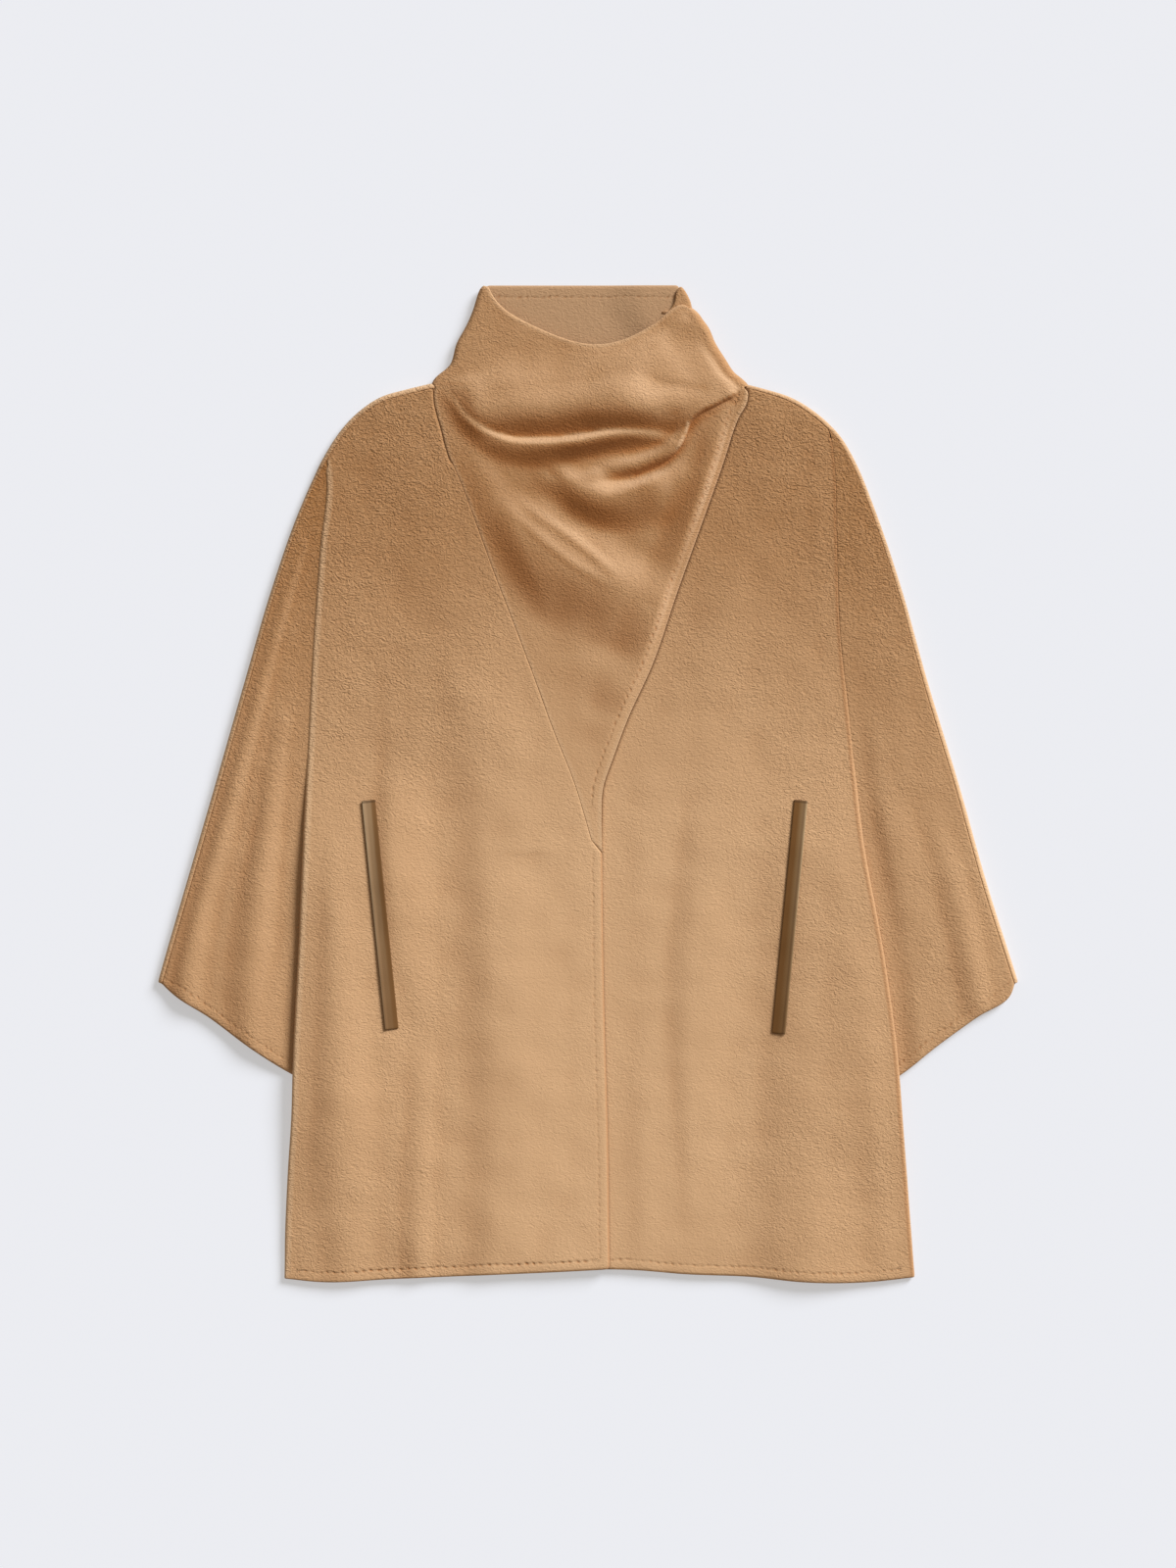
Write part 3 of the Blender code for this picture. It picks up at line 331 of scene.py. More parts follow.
FRONT_FOLDS = {
    "right": (
        (  # beside the side seam
            (-224.6, -42.3, 0, 18, 16), (-218.4, -109.9, 1.3, 22, 18), (-216.7, -169.2, 1.9, 28, 21),
            (-214.7, -253.9, 3, 35, 27), (-213.8, -359.1, 2.2, 38, 30), (-207.7, -435.5, 1.7, 28, 22),
        ),
        (  # beside the pocket, down to the hem
            (-170.8, 94.3, 0.3, 26, 12), (-167.4, 17.9, 1.2, 36, 17), (-169.7, -61.0, 4, 45, 20),
            (-160.4, -143.7, 1.8, 36, 19), (-143.6, -203.7, 0.3, 19, 16), (-144.8, -271.1, 1, 16, 15),
            (-147.9, -357.0, 1.4, 18, 18), (-148.1, -434.0, 1.9, 17, 15),
        ),
        (  # long fold from the chest
            (-117.6, 138.5, 0, 54, 21), (-101.1, 52.4, 1.9, 60, 30), (-89.5, -34.0, 2.2, 60, 32),
            (-80.9, -118.7, 3.2, 60, 39), (-74.3, -220.9, 3.4, 60, 41), (-71.9, -307.1, 2.8, 60, 41),
            (-81.6, -434.3, 2.6, 53, 32),
        ),
        (  # upper chest
            (-210.1, 305.7, 0, 14, 18), (-216.2, 255.0, 0.3, 18, 14), (-223.0, 187.1, 0, 24, 14),
            (-225.1, 101.9, 0.2, 27, 14), (-228.9, 8.5, 0.1, 20, 12),
        ),
        (  # over the bust
            (-144.6, 204.0, 0, 40, 44), (-135.7, 138.1, 0, 54, 52), (-129.6, 69.3, 1.7, 50, 54),
            (-136.3, -0.8, 0, 40, 41),
        ),
    ),
    "left": (
        (  # beside the centre edge
            (44.1, -50.8, 0.2, 14, 14), (44.9, -170.3, 0, 18, 16), (45.4, -306.3, 0.5, 19, 18),
            (47.3, -433.4, 0.4, 20, 16),
        ),
        (  # second from the centre
            (96.0, -0.7, 0, 40, 14), (96.6, -83.9, 2.2, 60, 24), (90.5, -171.1, 2.1, 60, 26),
            (87.9, -255.6, 1.4, 42, 19), (89.9, -323.5, 0.9, 33, 15), (91.8, -399.8, 0.1, 20, 12),
        ),
        (  # broad fold at the hem
            (178.6, -202.3, 0.8, 35, 26), (181.8, -269.9, 2.1, 52, 39), (186.3, -339.8, 3.4, 54, 58),
            (194.2, -432.3, 4, 60, 59),
        ),
        (  # along the pocket
            (198.9, 85.0, 0, 24, 20), (195.3, 0.0, 0, 26, 24), (187.6, -85.3, 0.2, 28, 24),
            (181.1, -171.6, 1, 33, 23), (170.1, -220.8, 0, 27, 20),
        ),
        (  # at the armhole
            (205.7, 306.0, 0.5, 14, 14), (209.1, 238.0, 1, 14, 22), (214.5, 153.2, 0.6, 14, 24),
            (219.6, 85.2, 0, 14, 24), (222.7, 34.0, 0, 12, 20),
        ),
        (  # over the bust
            (118.0, 170.6, 0.8, 35, 38), (105.2, 94.1, 0.6, 37, 55), (112.1, 16.3, 0.7, 45, 44),
            (123.6, -44.5, 1.4, 46, 44),
        ),
    ),
}
SLEEVE_FOLDS = {
    "right": (
        (  # near the outer edge
            (-249.0, 207.1, 1.3, 12, 10), (-266.9, 156.2, 2.3, 12, 12), (-281.6, 105.1, 2.4, 13, 13),
            (-294.7, 53.6, 2.6, 14, 13), (-308.1, 1.5, 3, 16, 14), (-322.3, -49.3, 3.2, 18, 14),
            (-338.0, -99.7, 3.5, 21, 15), (-347.4, -153.7, 3.6, 22, 19), (-350.7, -197.0, 3, 19, 15),
        ),
        (  # down the middle
            (-265.6, 52.3, 0.7, 13, 10), (-273.4, 1.3, 1.8, 15, 13), (-279.0, -46.8, 2.6, 17, 15),
            (-285.8, -96.8, 3.4, 21, 20), (-291.8, -151.6, 3.4, 25, 24), (-293.7, -207.0, 3, 25, 22),
            (-285.7, -254.7, 2, 19, 14),
        ),
        (  # tucked side
            (-253.1, -68.1, 0, 10, 10), (-263.2, -135.6, 0, 12, 12), (-270.3, -204.3, 1, 12, 15),
            (-263.2, -263.7, 1, 12, 14),
        ),
    ),
    "left": (
        (  # under the body's side
            (243.8, 59.1, 0, 16, 10), (251.2, -0.3, 1, 24, 13), (266.0, -67.1, 1.8, 30, 18),
            (278.5, -135.9, 0.6, 28, 18), (281.8, -204.9, 1.5, 26, 17), (280.2, -246.5, 1.9, 20, 14),
        ),
        (  # near the outer edge
            (293.8, -24.1, 0.1, 14, 14), (310.9, -65.8, 1, 15, 15), (321.4, -108.7, 1.8, 18, 18),
            (331.6, -152.6, 2.1, 19, 19), (338.0, -189.5, 1.8, 16, 18),
        ),
    ),
}
# Where the drape rolls over the stitched edge, from the neck inwards
WRAP_CREASE = (
    (132.5, 340.0), (122.4, 334.0), (115.6, 330.7), (107.1, 326.4), (99.5, 323.0), (93.5, 318.8),
    (87.6, 312.0), (85.9, 306.0), (83.3, 300.0), (79.9, 293.3), (75.7, 287.3), (67.2, 279.7), (58.7, 274.6),
    (46.0, 269.0),
)
CREASE_DROP = 4.6  # how far the drape stands over the stitched edge
CREASE_LIP = 1.3  # how far it hangs over
CREASE_WIDTH = 2.6  # of the step down from the drape to the stitched edge
CREASE_REACH = 15.0  # how far into the drape the rise goes
CREASE_START = 0.08  # share of its length by which it has risen
CREASE_FADE = 0.62  # share of its length from which it fades
CREASE_EDGE = (2, 10)  # inside the wrap's free edge, where its rise starts and is full
CREASE_SPAN = 0.004  # share of its length over which its direction is taken

# Stitched lines
RIM_STITCHES_DOWN = (0.0, 1.8)  # how much deeper the stitches of the collar's back rim lie than the others
TOP_STITCHES_PAST = (9.0, -3.0)  # how the collar's top stitches run on over its fold
NO_EDGE = 400.0  # noted depth on a piece with no stitched edge
CENTRE_SHADOW_EASE = 1.1  # how much less painted shadow lies beside the centre edge than beside the wrap's edge, as millimetres added to the distance
CENTRE_SHADOW_EASE_FROM = (20, 70)  # below the middle of the length

# Painted light and shade: the colour is made lighter where the cloth slopes towards the light, and deeper
# where it slopes away or lies in a hollow
HOLLOW_REACH = 9.0  # how wide a trough may be to count as a hollow
HOLLOW_LOOKS = 8  # places round a point that are compared with it
HOLLOW_DEPTH = 2.8  # depth at which a hollow is painted in full shade
TOWARDS_LIGHT = (0.71, 0.71)  # horizontal direction towards the light, along which the slope for the painted light and shade is taken
SLOPE_STEP = 2.0  # how far to each side the slope is taken
FLAT_LIT_SLOPE = 0.9  # slope towards the light at which the painted light is full, or, the other way, the painted shade
DRAPE_LIT_SLOPE = 0.36  # the same on the drape


def eased(low, high, value):
    """0 up to low, 1 from high on, and a soft S between them."""
    share = np.clip((value - low) / (high - low), 0.0, 1.0)
    return share * share * (3 - 2 * share)


def read_at(table, places):
    """Values between a table's rows, by place."""
    return np.interp(places, np.arange(len(table)), table)


LINE_STEPS = 10  # points of a smooth line from one given row to the next
SHARE_BLEND = (12.0, 10.0)  # square millimetres on the line, and more for each millimetre away


def smoothed(rows):
    """Rows of a smooth line through given rows, whose first two columns are X and Y."""
    spans = np.linalg.norm(np.diff(rows[:, :2], axis=0), axis=1)[:, None]
    slopes = np.diff(rows, axis=0) / spans
    inner = (slopes[:-1] * spans[1:] + slopes[1:] * spans[:-1]) / (spans[:-1] + spans[1:])
    tangents = np.vstack([slopes[:1], inner, slopes[-1:]])
    points = []
    for start, end, span, leave, arrive in zip(rows, rows[1:], spans, tangents, tangents[1:]):
        for t in np.arange(LINE_STEPS) / LINE_STEPS:
            points.append(
                (2 * t**3 - 3 * t**2 + 1) * start
                + (t**3 - 2 * t**2 + t) * span * leave
                + (3 * t**2 - 2 * t**3) * end
                + (t**3 - t**2) * span * arrive
            )
    return np.vstack(points + [rows[-1]])


class Line:
    """A smooth line in the plan through a few points, read by the share of its length or by its height."""

    def __init__(self, knots, smooth=True, picks=1.0, rim=0.0):
        knots = np.array([knot[:2] for knot in knots], dtype=float)
        self.picks = picks  # how clearly its stitches show
        self.rim = rim  # how strong the painted highlight on its rim is, and below nothing how strong the painted shade on it is
        self.points = smoothed(knots) if smooth else knots
        lengths = np.linalg.norm(np.diff(self.points, axis=0), axis=1)
        self.length = lengths.sum()
        self.shares = np.concatenate([[0.0], np.cumsum(lengths)]) / self.length

    def at(self, shares):
        return np.stack([np.interp(shares, self.shares, self.points[:, k]) for k in (0, 1)], axis=-1)

    def x_at(self, y):
        return np.interp(-np.asarray(y, dtype=float), -self.points[:, 1], self.points[:, 0])

    def on_levels(self, levels):
        return np.stack([self.x_at(levels), np.array(levels, dtype=float)], axis=-1)

    def moved(self, distance):
        """The same line moved to its left-hand side, looking along it."""
        return Line(self.points + distance * left_normals(self.points), smooth=False)

    def share_near(self, point):
        return self.shares[np.argmin(np.linalg.norm(self.points - np.array(point), axis=1))]

    def near(self, x, y):
        """The distance of each point (x, y) from the line, its side, and the share of the nearest point.

        The side is 1 on the line's left-hand side, looking along it, -1 on the right-hand side, and in
        between past the line's ends.
        """
        away = np.full(np.shape(x), 1e9)
        side = np.ones(np.shape(x))
        share = np.zeros(np.shape(x))
        for a, b, share_a, share_b in zip(self.points, self.points[1:], self.shares, self.shares[1:]):
            step = b - a
            t = np.clip(((x - a[0]) * step[0] + (y - a[1]) * step[1]) / (step @ step), 0.0, 1.0)
            reach = np.hypot(x - a[0] - t * step[0], y - a[1] - t * step[1])
            across = (step[0] * (y - a[1]) - step[1] * (x - a[0])) / math.hypot(*step)
            nearer = reach < away
            away = np.where(nearer, reach, away)
            share = np.where(nearer, share_a + t * (share_b - share_a), share)
            side = np.where(nearer, across / np.maximum(reach, 1e-9), side)
        return away, side, share

    def distance(self, x, y):
        """The distance of each point from the line, below nothing on its right-hand side, and the share."""
        away, side, share = self.near(x, y)
        return np.where(side < 0, -away, away), share

    def soft_share(self, x, y, away):
        """The share of the line beside each point, blended where two stretches are about equally near."""
        spread = 2 * (SHARE_BLEND[0] + SHARE_BLEND[1] * np.abs(away))
        total = np.zeros(np.shape(x))
        weighed = np.zeros(np.shape(x))
        for spot, share in zip(self.points, self.shares):
            weight = np.exp((away**2 - (x - spot[0]) ** 2 - (y - spot[1]) ** 2) / spread)
            total += weight
            weighed += weight * share
        return weighed / np.maximum(total, 1e-12)


class Fold:
    """A soft ridge along a line, with its own rise and reach on each side."""

    def __init__(self, rows):
        rows = smoothed(np.array(rows, dtype=float))
        self.line = Line(rows, smooth=False)
        self.rise, self.left, self.right = rows[:, 2:].T

    def height(self, x, y):
        away, side, _ = self.line.near(x, y)
        share = self.line.soft_share(x, y, away)
        columns = (self.rise, self.left, self.right)
        rise, left, right = (np.interp(share, self.line.shares, column) for column in columns)
        reach = (left * (1 + side) + right * (1 - side)) / 2
        return np.maximum(rise, 0.0) * np.cos(np.minimum(away / reach, 1.0) * math.pi / 2) ** 2


def left_normals(points):
    """Plan normals of a row of points, on its left-hand side."""
    along = np.gradient(points, axis=0)
    along /= np.linalg.norm(along, axis=1)[:, None]
    return np.stack([-along[:, 1], along[:, 0]], axis=-1)


def outward_normals(edge, towards):
    """Plan normals of an edge, on the side that a direction points to."""
    normals = left_normals(edge[:, :2])
    return normals * np.sign((normals @ np.array(towards, dtype=float)).sum())


# rim: above nothing, the strength of a painted highlight along the line's rim; below nothing, of painted
# shade on it
OUTLINE = {"right": Line(OUTLINE_RIGHT, rim=0.75), "left": Line(OUTLINE_LEFT, rim=0.75)}
SIDE = {"right": Line(SIDE_RIGHT, picks=0.0, rim=0.4), "left": Line(SIDE_LEFT, picks=0.0, rim=-0.45)}
SEAM_LINE = Line(WRAP_SEAM, picks=0.0, rim=0.22)
FREE_LINE = Line(FREE_EDGE, picks=1.2, rim=0.34)
OVER_EDGE = Line(list(FREE_EDGE) + list(CENTRE_EDGE[1:]))
HEM_LINE = {"right": Line(HEM_RIGHT, picks=1.6, rim=-0.3), "left": Line(HEM_LEFT, picks=1.0, rim=-0.3)}
CENTRE_LINE = Line(CENTRE_EDGE, picks=0.6, rim=-0.6)
CREASE_LINE = Line(WRAP_CREASE)
TOP_LINE = Line(WRAP_TOP)
RIGHT_BEND = Line(COLLAR_RIGHT).moved(WRAP_BEND)
LEFT_BEND = Line(COLLAR_LEFT).moved(-(WRAP_ROLL + CLOTH / 2))
CUFF_LINE = {side: Line(CUFF[side], picks=0.9, rim=-0.2) for side in CUFF}
DRAPE = [Fold(rows) for rows in WRAP_FOLDS]
FIRST_FOLD = DRAPE[2]  # the wrap's sharpest fold
FRONT = {side: [Fold(rows) for rows in FRONT_FOLDS[side]] for side in FRONT_FOLDS}
SLEEVE = {side: [Fold(rows) for rows in SLEEVE_FOLDS[side]] for side in SLEEVE_FOLDS}

# Slight unevenness of cloth laid by hand: soft waves of many directions
WAVE_COUNT = 18
WAVE_LENGTH = (26.0, 80.0)
WAVE_RISE = 0.045
chance = np.random.default_rng(7)
WAVES = [
    (turn, 2 * math.pi / length, start)
    for turn, length, start in zip(
        chance.uniform(0, math.pi, WAVE_COUNT),
        chance.uniform(*WAVE_LENGTH, WAVE_COUNT),
        chance.uniform(0, 2 * math.pi, WAVE_COUNT),
    )
]


def unevenness(x, y):
    """Rise of the slight waves."""
    waves = [np.sin((x * math.cos(turn) + y * math.sin(turn)) * pace + start) for turn, pace, start in WAVES]
    return WAVE_RISE * sum(waves)


def side_value(side, y, column):
    """A column of SIDE_SECTIONS at height y, eased from row to row."""
    rows = SIDE_SECTIONS[side]
    value = np.full(np.shape(y), float(rows[0][column]))
    for upper, lower in zip(rows, rows[1:]):
        step = eased(-upper[0], -lower[0], -np.asarray(y, dtype=float))
        value = value + (lower[column] - upper[column]) * step
    return value


def side_depth(side, x, y):
    """How far inside the body's side line a point lies."""
    return OUTWARD[side] * (SIDE[side].x_at(y) - x)


def rise_of(folds, x, y):
    """Rise of several folds together."""
    return sum(fold.height(x, y) for fold in folds)


# Heights of the layers


def back_height(x, y):
    """Middle of the body's back and of the collar's back."""
    height = np.full(np.shape(x), GROUND)
    for side in SIDES:
        inside = 1 - eased(*SLEEVE_STEP_IN, side_depth(side, x, y))
        along = eased(*SLEEVE_STEP_TOP, -y) * (1 - eased(*SLEEVE_STEP_BOTTOM, -y))
        on_this_side = OUTWARD[side] * x > 0
        height = height + np.where(on_this_side, SLEEVE_LIFT * inside * along, 0.0)
    fold_x = LEFT_BEND.x_at(y)
    under_neck = eased(*TAIL_STEP_IN, fold_x - x) * (1 - eased(*TAIL_STEP_OUT, x - fold_x))
    return height + TAIL_LIFT * under_neck * (1 - eased(*TAIL_STEP_DOWN, NECK_Y - y))


def front_edge_rise(side, x, y):
    """How much higher a front lies at its side line."""
    return side_value(side, y, 1) * (1 - eased(*EDGE_STEP, side_depth(side, x, y)))


def loose(y):
    """How far a front lies over the back where nothing else holds it up."""
    return LOFT - HEM_SETTLE * eased(*HEM_STEP, -y)


def front_height(side, x, y):
    """Middle of a front: the right one lies up on the left one, which lies down under it and the wrap."""
    if side == "right":
        inner = np.where(y > TIP_END[1], SEAM_LINE.x_at(y), OVER_EDGE.x_at(y)) - x
        at_edge, step = OVER, OVER_STEP
        filled = SEAM_FILL * eased(*SEAM_FILL_FROM, y) * (1 - eased(*SEAM_FILL_FADE, inner))
    else:
        inner = x - OVER_EDGE.x_at(y)
        at_edge, step = UNDER, UNDER_STEP
        filled = 0.0
    layered = (at_edge - loose(y)) * (1 - eased(*step, inner))
    free = eased(*SIDE_CALM, side_depth(side, x, y)) * eased(*INNER_CALM[side], inner)
    soft = (rise_of(FRONT[side], x, y) + unevenness(x, y)) * free
    return back_height(x, y) + loose(y) + layered + filled + front_edge_rise(side, x, y) + soft


def wrap_margins(x, y):
    """How far a point of the wrap lies from its seam side and from its free side."""
    from_seam = np.where(y > NECK_Y, x - RIGHT_BEND.x_at(y), x - SEAM_LINE.x_at(y))
    from_edge = np.where(y > NECK_Y, LEFT_BEND.x_at(y) - x, FREE_LINE.x_at(y) - x)
    return from_seam, from_edge


def wrap_form(x, y):
    """Middle of the wrap: its plan, moved where the drape hangs over its stitched edge, and its height."""
    from_seam, from_edge = wrap_margins(x, y)
    calm = eased(*SEAM_CALM, from_seam) * eased(*EDGE_CALM, from_edge)
    away, share = CREASE_LINE.distance(x, y)
    strength = eased(0, CREASE_START, share) * (1 - eased(CREASE_FADE, 1.0, share))
    part = np.clip((away + CREASE_WIDTH) / CREASE_WIDTH, 0.0, 1.0)
    drop = CREASE_DROP * strength * (1 - eased(0, 1, part)) * np.exp(np.minimum(away, 0) / CREASE_REACH)
    lip = CREASE_LIP * strength * np.sin(part * math.pi) * (part < 1)
    ahead, behind = (CREASE_LINE.at(np.clip(share + step, 0, 1)) for step in (CREASE_SPAN, -CREASE_SPAN))
    along = (ahead - behind) / np.linalg.norm(ahead - behind, axis=-1)[..., None]
    soft = calm * (rise_of(DRAPE, x, y) + unevenness(x, y))
    below_top = 1 - eased(*RIM_STEP, np.abs(TOP_LINE.distance(x, y)[0]))
    resting = RIM_SETTLE * below_top * eased(*RIM_START, x)
    height = back_height(x, y) + OVER + soft + drop * eased(*CREASE_EDGE, from_edge) - resting
    return x - along[..., 1] * lip, y + along[..., 0] * lip, height


def wrap_height(x, y):
    """Middle of the wrap."""
    return wrap_form(x, y)[2]


def under_height(x, y):
    """Middle of the under collar."""
    return back_height(x, y) + UNDER - LOBE_SETTLE * eased(*LOBE_STEP, y)


def sleeve_height(side, x, y):
    """Middle of a sleeve's front."""
    low = side_value(side, y, 4)
    outside = -side_depth(side, x, y)
    to_cuff = 1 - CUFF_SETTLE * eased(*CUFF_STEP, np.abs(CUFF_LINE[side].distance(x, y)[0]))
    free = eased(*TUCK_CALM, outside) * eased(*OUTLINE_CALM, np.abs(OUTLINE[side].distance(x, y)[0]))
    soft = (rise_of(SLEEVE[side], x, y) + unevenness(x, y)) * free
    return GROUND + low + (LOFT - low) * eased(*SLEEVE_SWELL, outside) * to_cuff + soft


# Grids


def places_in(*tables, cell=CELL):
    """Places along tables of levels that belong together, about a cell apart, every level kept."""
    longest = np.max([np.abs(np.diff(table)) for table in tables], axis=0)
    parts = np.maximum(1, np.round(longest / cell)).astype(int)
    steps = [k + np.arange(count) / count for k, count in enumerate(parts)]
    return np.concatenate(steps + [[len(parts)]])


def patch(top, bottom, left, right):
    """A plan grid stretched between four rows of points that share their corners.

    Its rows run down and its columns across.
    """
    u = np.linspace(0.0, 1.0, len(top))[None, :, None]
    v = np.linspace(0.0, 1.0, len(left))[:, None, None]
    across = (1 - u) * left[:, None] + u * right[:, None]
    down = (1 - v) * top[None] + v * bottom[None]
    upper = (1 - u) * (1 - v) * top[0] + u * (1 - v) * top[-1]
    return across + down - (upper + (1 - u) * v * bottom[0] + u * v * bottom[-1])


def raised(plan, height):
    """A plan grid with the height of each of its points."""
    return np.concatenate([plan, height(plan[..., 0], plan[..., 1])[..., None]], axis=-1)


def roll(edge, outward, radius, turn, tail, way):
    """The cloth past an edge: an arc of a radius and a turn (degrees), then a straight tail.

    way is 1 to roll up and over, and -1 to roll down and under.
    """
    radius, turn, tail = (np.broadcast_to(value, len(edge)) for value in (radius, np.radians(turn), tail))
    rows = []
    for share in np.linspace(0.0, 1.0, ROLL_STEPS + 1):
        out = radius * np.sin(turn * share)
        rise = radius * (1 - np.cos(turn * share))
        rows.append((out, rise))
    for share in np.linspace(0.0, 1.0, int(np.ceil(tail.max() / CELL)) + 1)[1:]:
        rows.append((out + tail * share * np.cos(turn), rise + tail * share * np.sin(turn)))
    grid = np.repeat(edge[:, None], len(rows), axis=1)
    for k, (out, rise) in enumerate(rows):
        grid[:, k, :2] += outward * out[:, None]
        grid[:, k, 2] += way * rise
    return grid


def add_grid(sheet, grid):
    """Lays a grid of points into a sheet as one stretched plane."""
    rows, columns = grid.shape[0] - 1, grid.shape[1] - 1
    made = bmesh.ops.create_grid(sheet, x_segments=columns, y_segments=rows, size=0.5)
    for vert in made["verts"]:
        row = round((vert.co.y + 0.5) * rows)
        column = round((vert.co.x + 0.5) * columns)
        vert.co = grid[row, column]


def spots_of(sheet):
    """The places of a sheet's points."""
    return np.array([vert.co[:] for vert in sheet.verts])


def merge(sheet):
    """Joins a sheet's grids where they meet."""
    bmesh.ops.remove_doubles(sheet, verts=sheet.verts, dist=MERGE_REACH)


def put_in_scene(name, data):
    """An object of its own for a mesh, a light or a camera."""
    thing = bpy.data.objects.new(name, data)
    bpy.context.scene.collection.objects.link(thing)
    return thing


def mesh_from(name, sheet, material):
    """A finished sheet's mesh, in one material."""
    mesh = bpy.data.meshes.new(name)
    sheet.to_mesh(mesh)
    sheet.free()
    mesh.materials.append(material)
    return mesh


def cloth(name, sheet, material, sewn_lines=(), wall=CLOTH, height=None, lit_slope=FLAT_LIT_SLOPE, past_shadow_edge=None):
    """Joins a sheet's grids, notes what its finish needs to know of each point, and gives it its wall."""
    merge(sheet)
    bmesh.ops.recalc_face_normals(sheet, faces=sheet.faces)
    sheet.verts.index_update()
    note_edges(sheet, sewn_lines)
    note_form(sheet, height, lit_slope, past_shadow_edge)
    bmesh.ops.scale(sheet, vec=(MM, MM, MM), verts=sheet.verts)
    piece = put_in_scene(name, mesh_from(name, sheet, material))
    piece.data.shade_smooth()
    thick = piece.modifiers.new("wall", "SOLIDIFY")
    thick.thickness = wall * MM
    thick.offset = 0.0
    thick.use_quality_normals = True
    smooth = piece.modifiers.new("soft rims", "SUBSURF")
    smooth.levels = smooth.render_levels = 1
    smooth.uv_smooth = "NONE"
    return piece


def note(sheet, label, values):
    """Writes one number for each point of a sheet."""
    layer = sheet.verts.layers.float.new(label)
    for vert, value in zip(sheet.verts, values):
        vert[layer] = value


def note_edges(sheet, sewn_lines):
    """Writes how clearly the stitches show, and how strong the painted highlight on the rim is, or below
    nothing the painted shade, at the nearest sewn line.

    The sheet's map, in metres, is the way along that line and the depth inside it.
    """
    spots = spots_of(sheet)
    way, picks, rim = np.zeros((3, len(spots)))
    depth = np.full(len(spots), NO_EDGE)
    for line in sewn_lines:
        away, share = line.distance(spots[:, 0], spots[:, 1])
        nearer = np.abs(away) < depth
        way = np.where(nearer, share * line.length, way)
        picks = np.where(nearer, line.picks, picks)
        rim = np.where(nearer, line.rim, rim)
        depth = np.where(nearer, np.abs(away), depth)
    note(sheet, "picks", picks)
    note(sheet, "rim", rim)
    edge_map = sheet.loops.layers.uv.new("edge_map")
    for face in sheet.faces:
        for loop in face.loops:
            loop[edge_map].uv = (way[loop.vert.index] * MM, depth[loop.vert.index] * MM)


def note_form(sheet, height, lit_slope, past_shadow_edge):
    """Writes the painted light and shade at each point, 1 to -1, and how far the point is past an edge beside
    which a shadow is painted.

    The light is painted in full where the cloth slopes towards it by lit_slope, and the shade is painted in
    full where the cloth slopes away by as much or lies in a hollow.
    """
    spots = spots_of(sheet)
    x, y = spots[:, 0], spots[:, 1]
    painted_light = np.zeros(len(spots))
    if height is not None:
        turns = np.arange(HOLLOW_LOOKS) * 2 * math.pi / HOLLOW_LOOKS
        around = sum(height(x + HOLLOW_REACH * math.cos(t), y + HOLLOW_REACH * math.sin(t)) for t in turns)
        hollow = np.clip((around / len(turns) - height(x, y)) / HOLLOW_DEPTH, 0.0, 1.0)
        ahead = height(x + SLOPE_STEP * TOWARDS_LIGHT[0], y + SLOPE_STEP * TOWARDS_LIGHT[1])
        behind = height(x - SLOPE_STEP * TOWARDS_LIGHT[0], y - SLOPE_STEP * TOWARDS_LIGHT[1])
        painted_light = np.clip((behind - ahead) / (2 * SLOPE_STEP * lit_slope) - hollow, -1.0, 1.0)
    note(sheet, "painted_light", painted_light)
    note(sheet, "past_shadow_edge", np.full(len(spots), NO_EDGE) if past_shadow_edge is None else past_shadow_edge(x, y))


# Pieces


def shoulder_rows(side, bend, columns):
    """Points of the shoulder edge from its tip to the neck, inside the outline by bend."""
    line = OUTLINE[side].moved(-OUTWARD[side] * bend)
    tip = line.share_near(SIDE[side].points[0])
    return line.at(np.linspace(tip, 0.0, columns + 1))


def shoulder_strip(edge, side):
    """The back's cloth rolled up over the shoulder."""
    front = front_height(side, edge[:, 0], edge[:, 1])
    return roll(edge, outward_normals(edge, (0, 1)), (front - edge[:, 2]) / 2, 180, SHOULDER_TAIL, 1)


def back_side(side, places):
    """Edge of the body's back down the side, next to the sleeve's back and the front's turned edge."""
    points = SIDE[side].on_levels(read_at(SIDE_LEVELS[side], places))
    points[:, 0] -= OUTWARD[side] * (SIDE_TAIL + SEAM)
    points[0] = shoulder_rows(side, SHOULDER_BEND, 1)[0]
    return points


def back(material):
    """The whole back, its shoulder edges rolled up over the fronts."""
    right = shoulder_rows("right", SHOULDER_BEND, BACK_SHOULDER_COLUMNS)
    left = shoulder_rows("left", SHOULDER_BEND, BACK_SHOULDER_COLUMNS)[::-1]
    right[-1] = (OUTLINE_RIGHT[0][0], NECK_Y - SEAM)
    left[0] = (OUTLINE_LEFT[0][0], NECK_Y - SEAM)
    across = np.linspace(right[-1], left[0], NECK_COLUMNS + 1)
    top = np.vstack([right, across[1:-1], left])
    places = places_in(SIDE_LEVELS["right"], SIDE_LEVELS["left"], cell=BACK_CELL)
    sides = {side: back_side(side, places) for side in SIDES}
    ends = [sides[side][-1] + (0, HEM_INSET) for side in SIDES]
    hem = Line([ends[0], *HEM_BACK, ends[1]])
    bottom = hem.at(np.linspace(0, 1, len(top)))
    sides["right"][-1], sides["left"][-1] = bottom[0], bottom[-1]
    grid = raised(patch(top, bottom, sides["right"], sides["left"]), back_height)
    sheet = bmesh.new()
    add_grid(sheet, grid)
    add_grid(sheet, shoulder_strip(grid[0, : BACK_SHOULDER_COLUMNS + 1], "right"))
    add_grid(sheet, shoulder_strip(grid[0, -BACK_SHOULDER_COLUMNS - 1 :], "left"))
    return cloth("back_panel", sheet, material, [hem, OUTLINE["right"], OUTLINE["left"]])


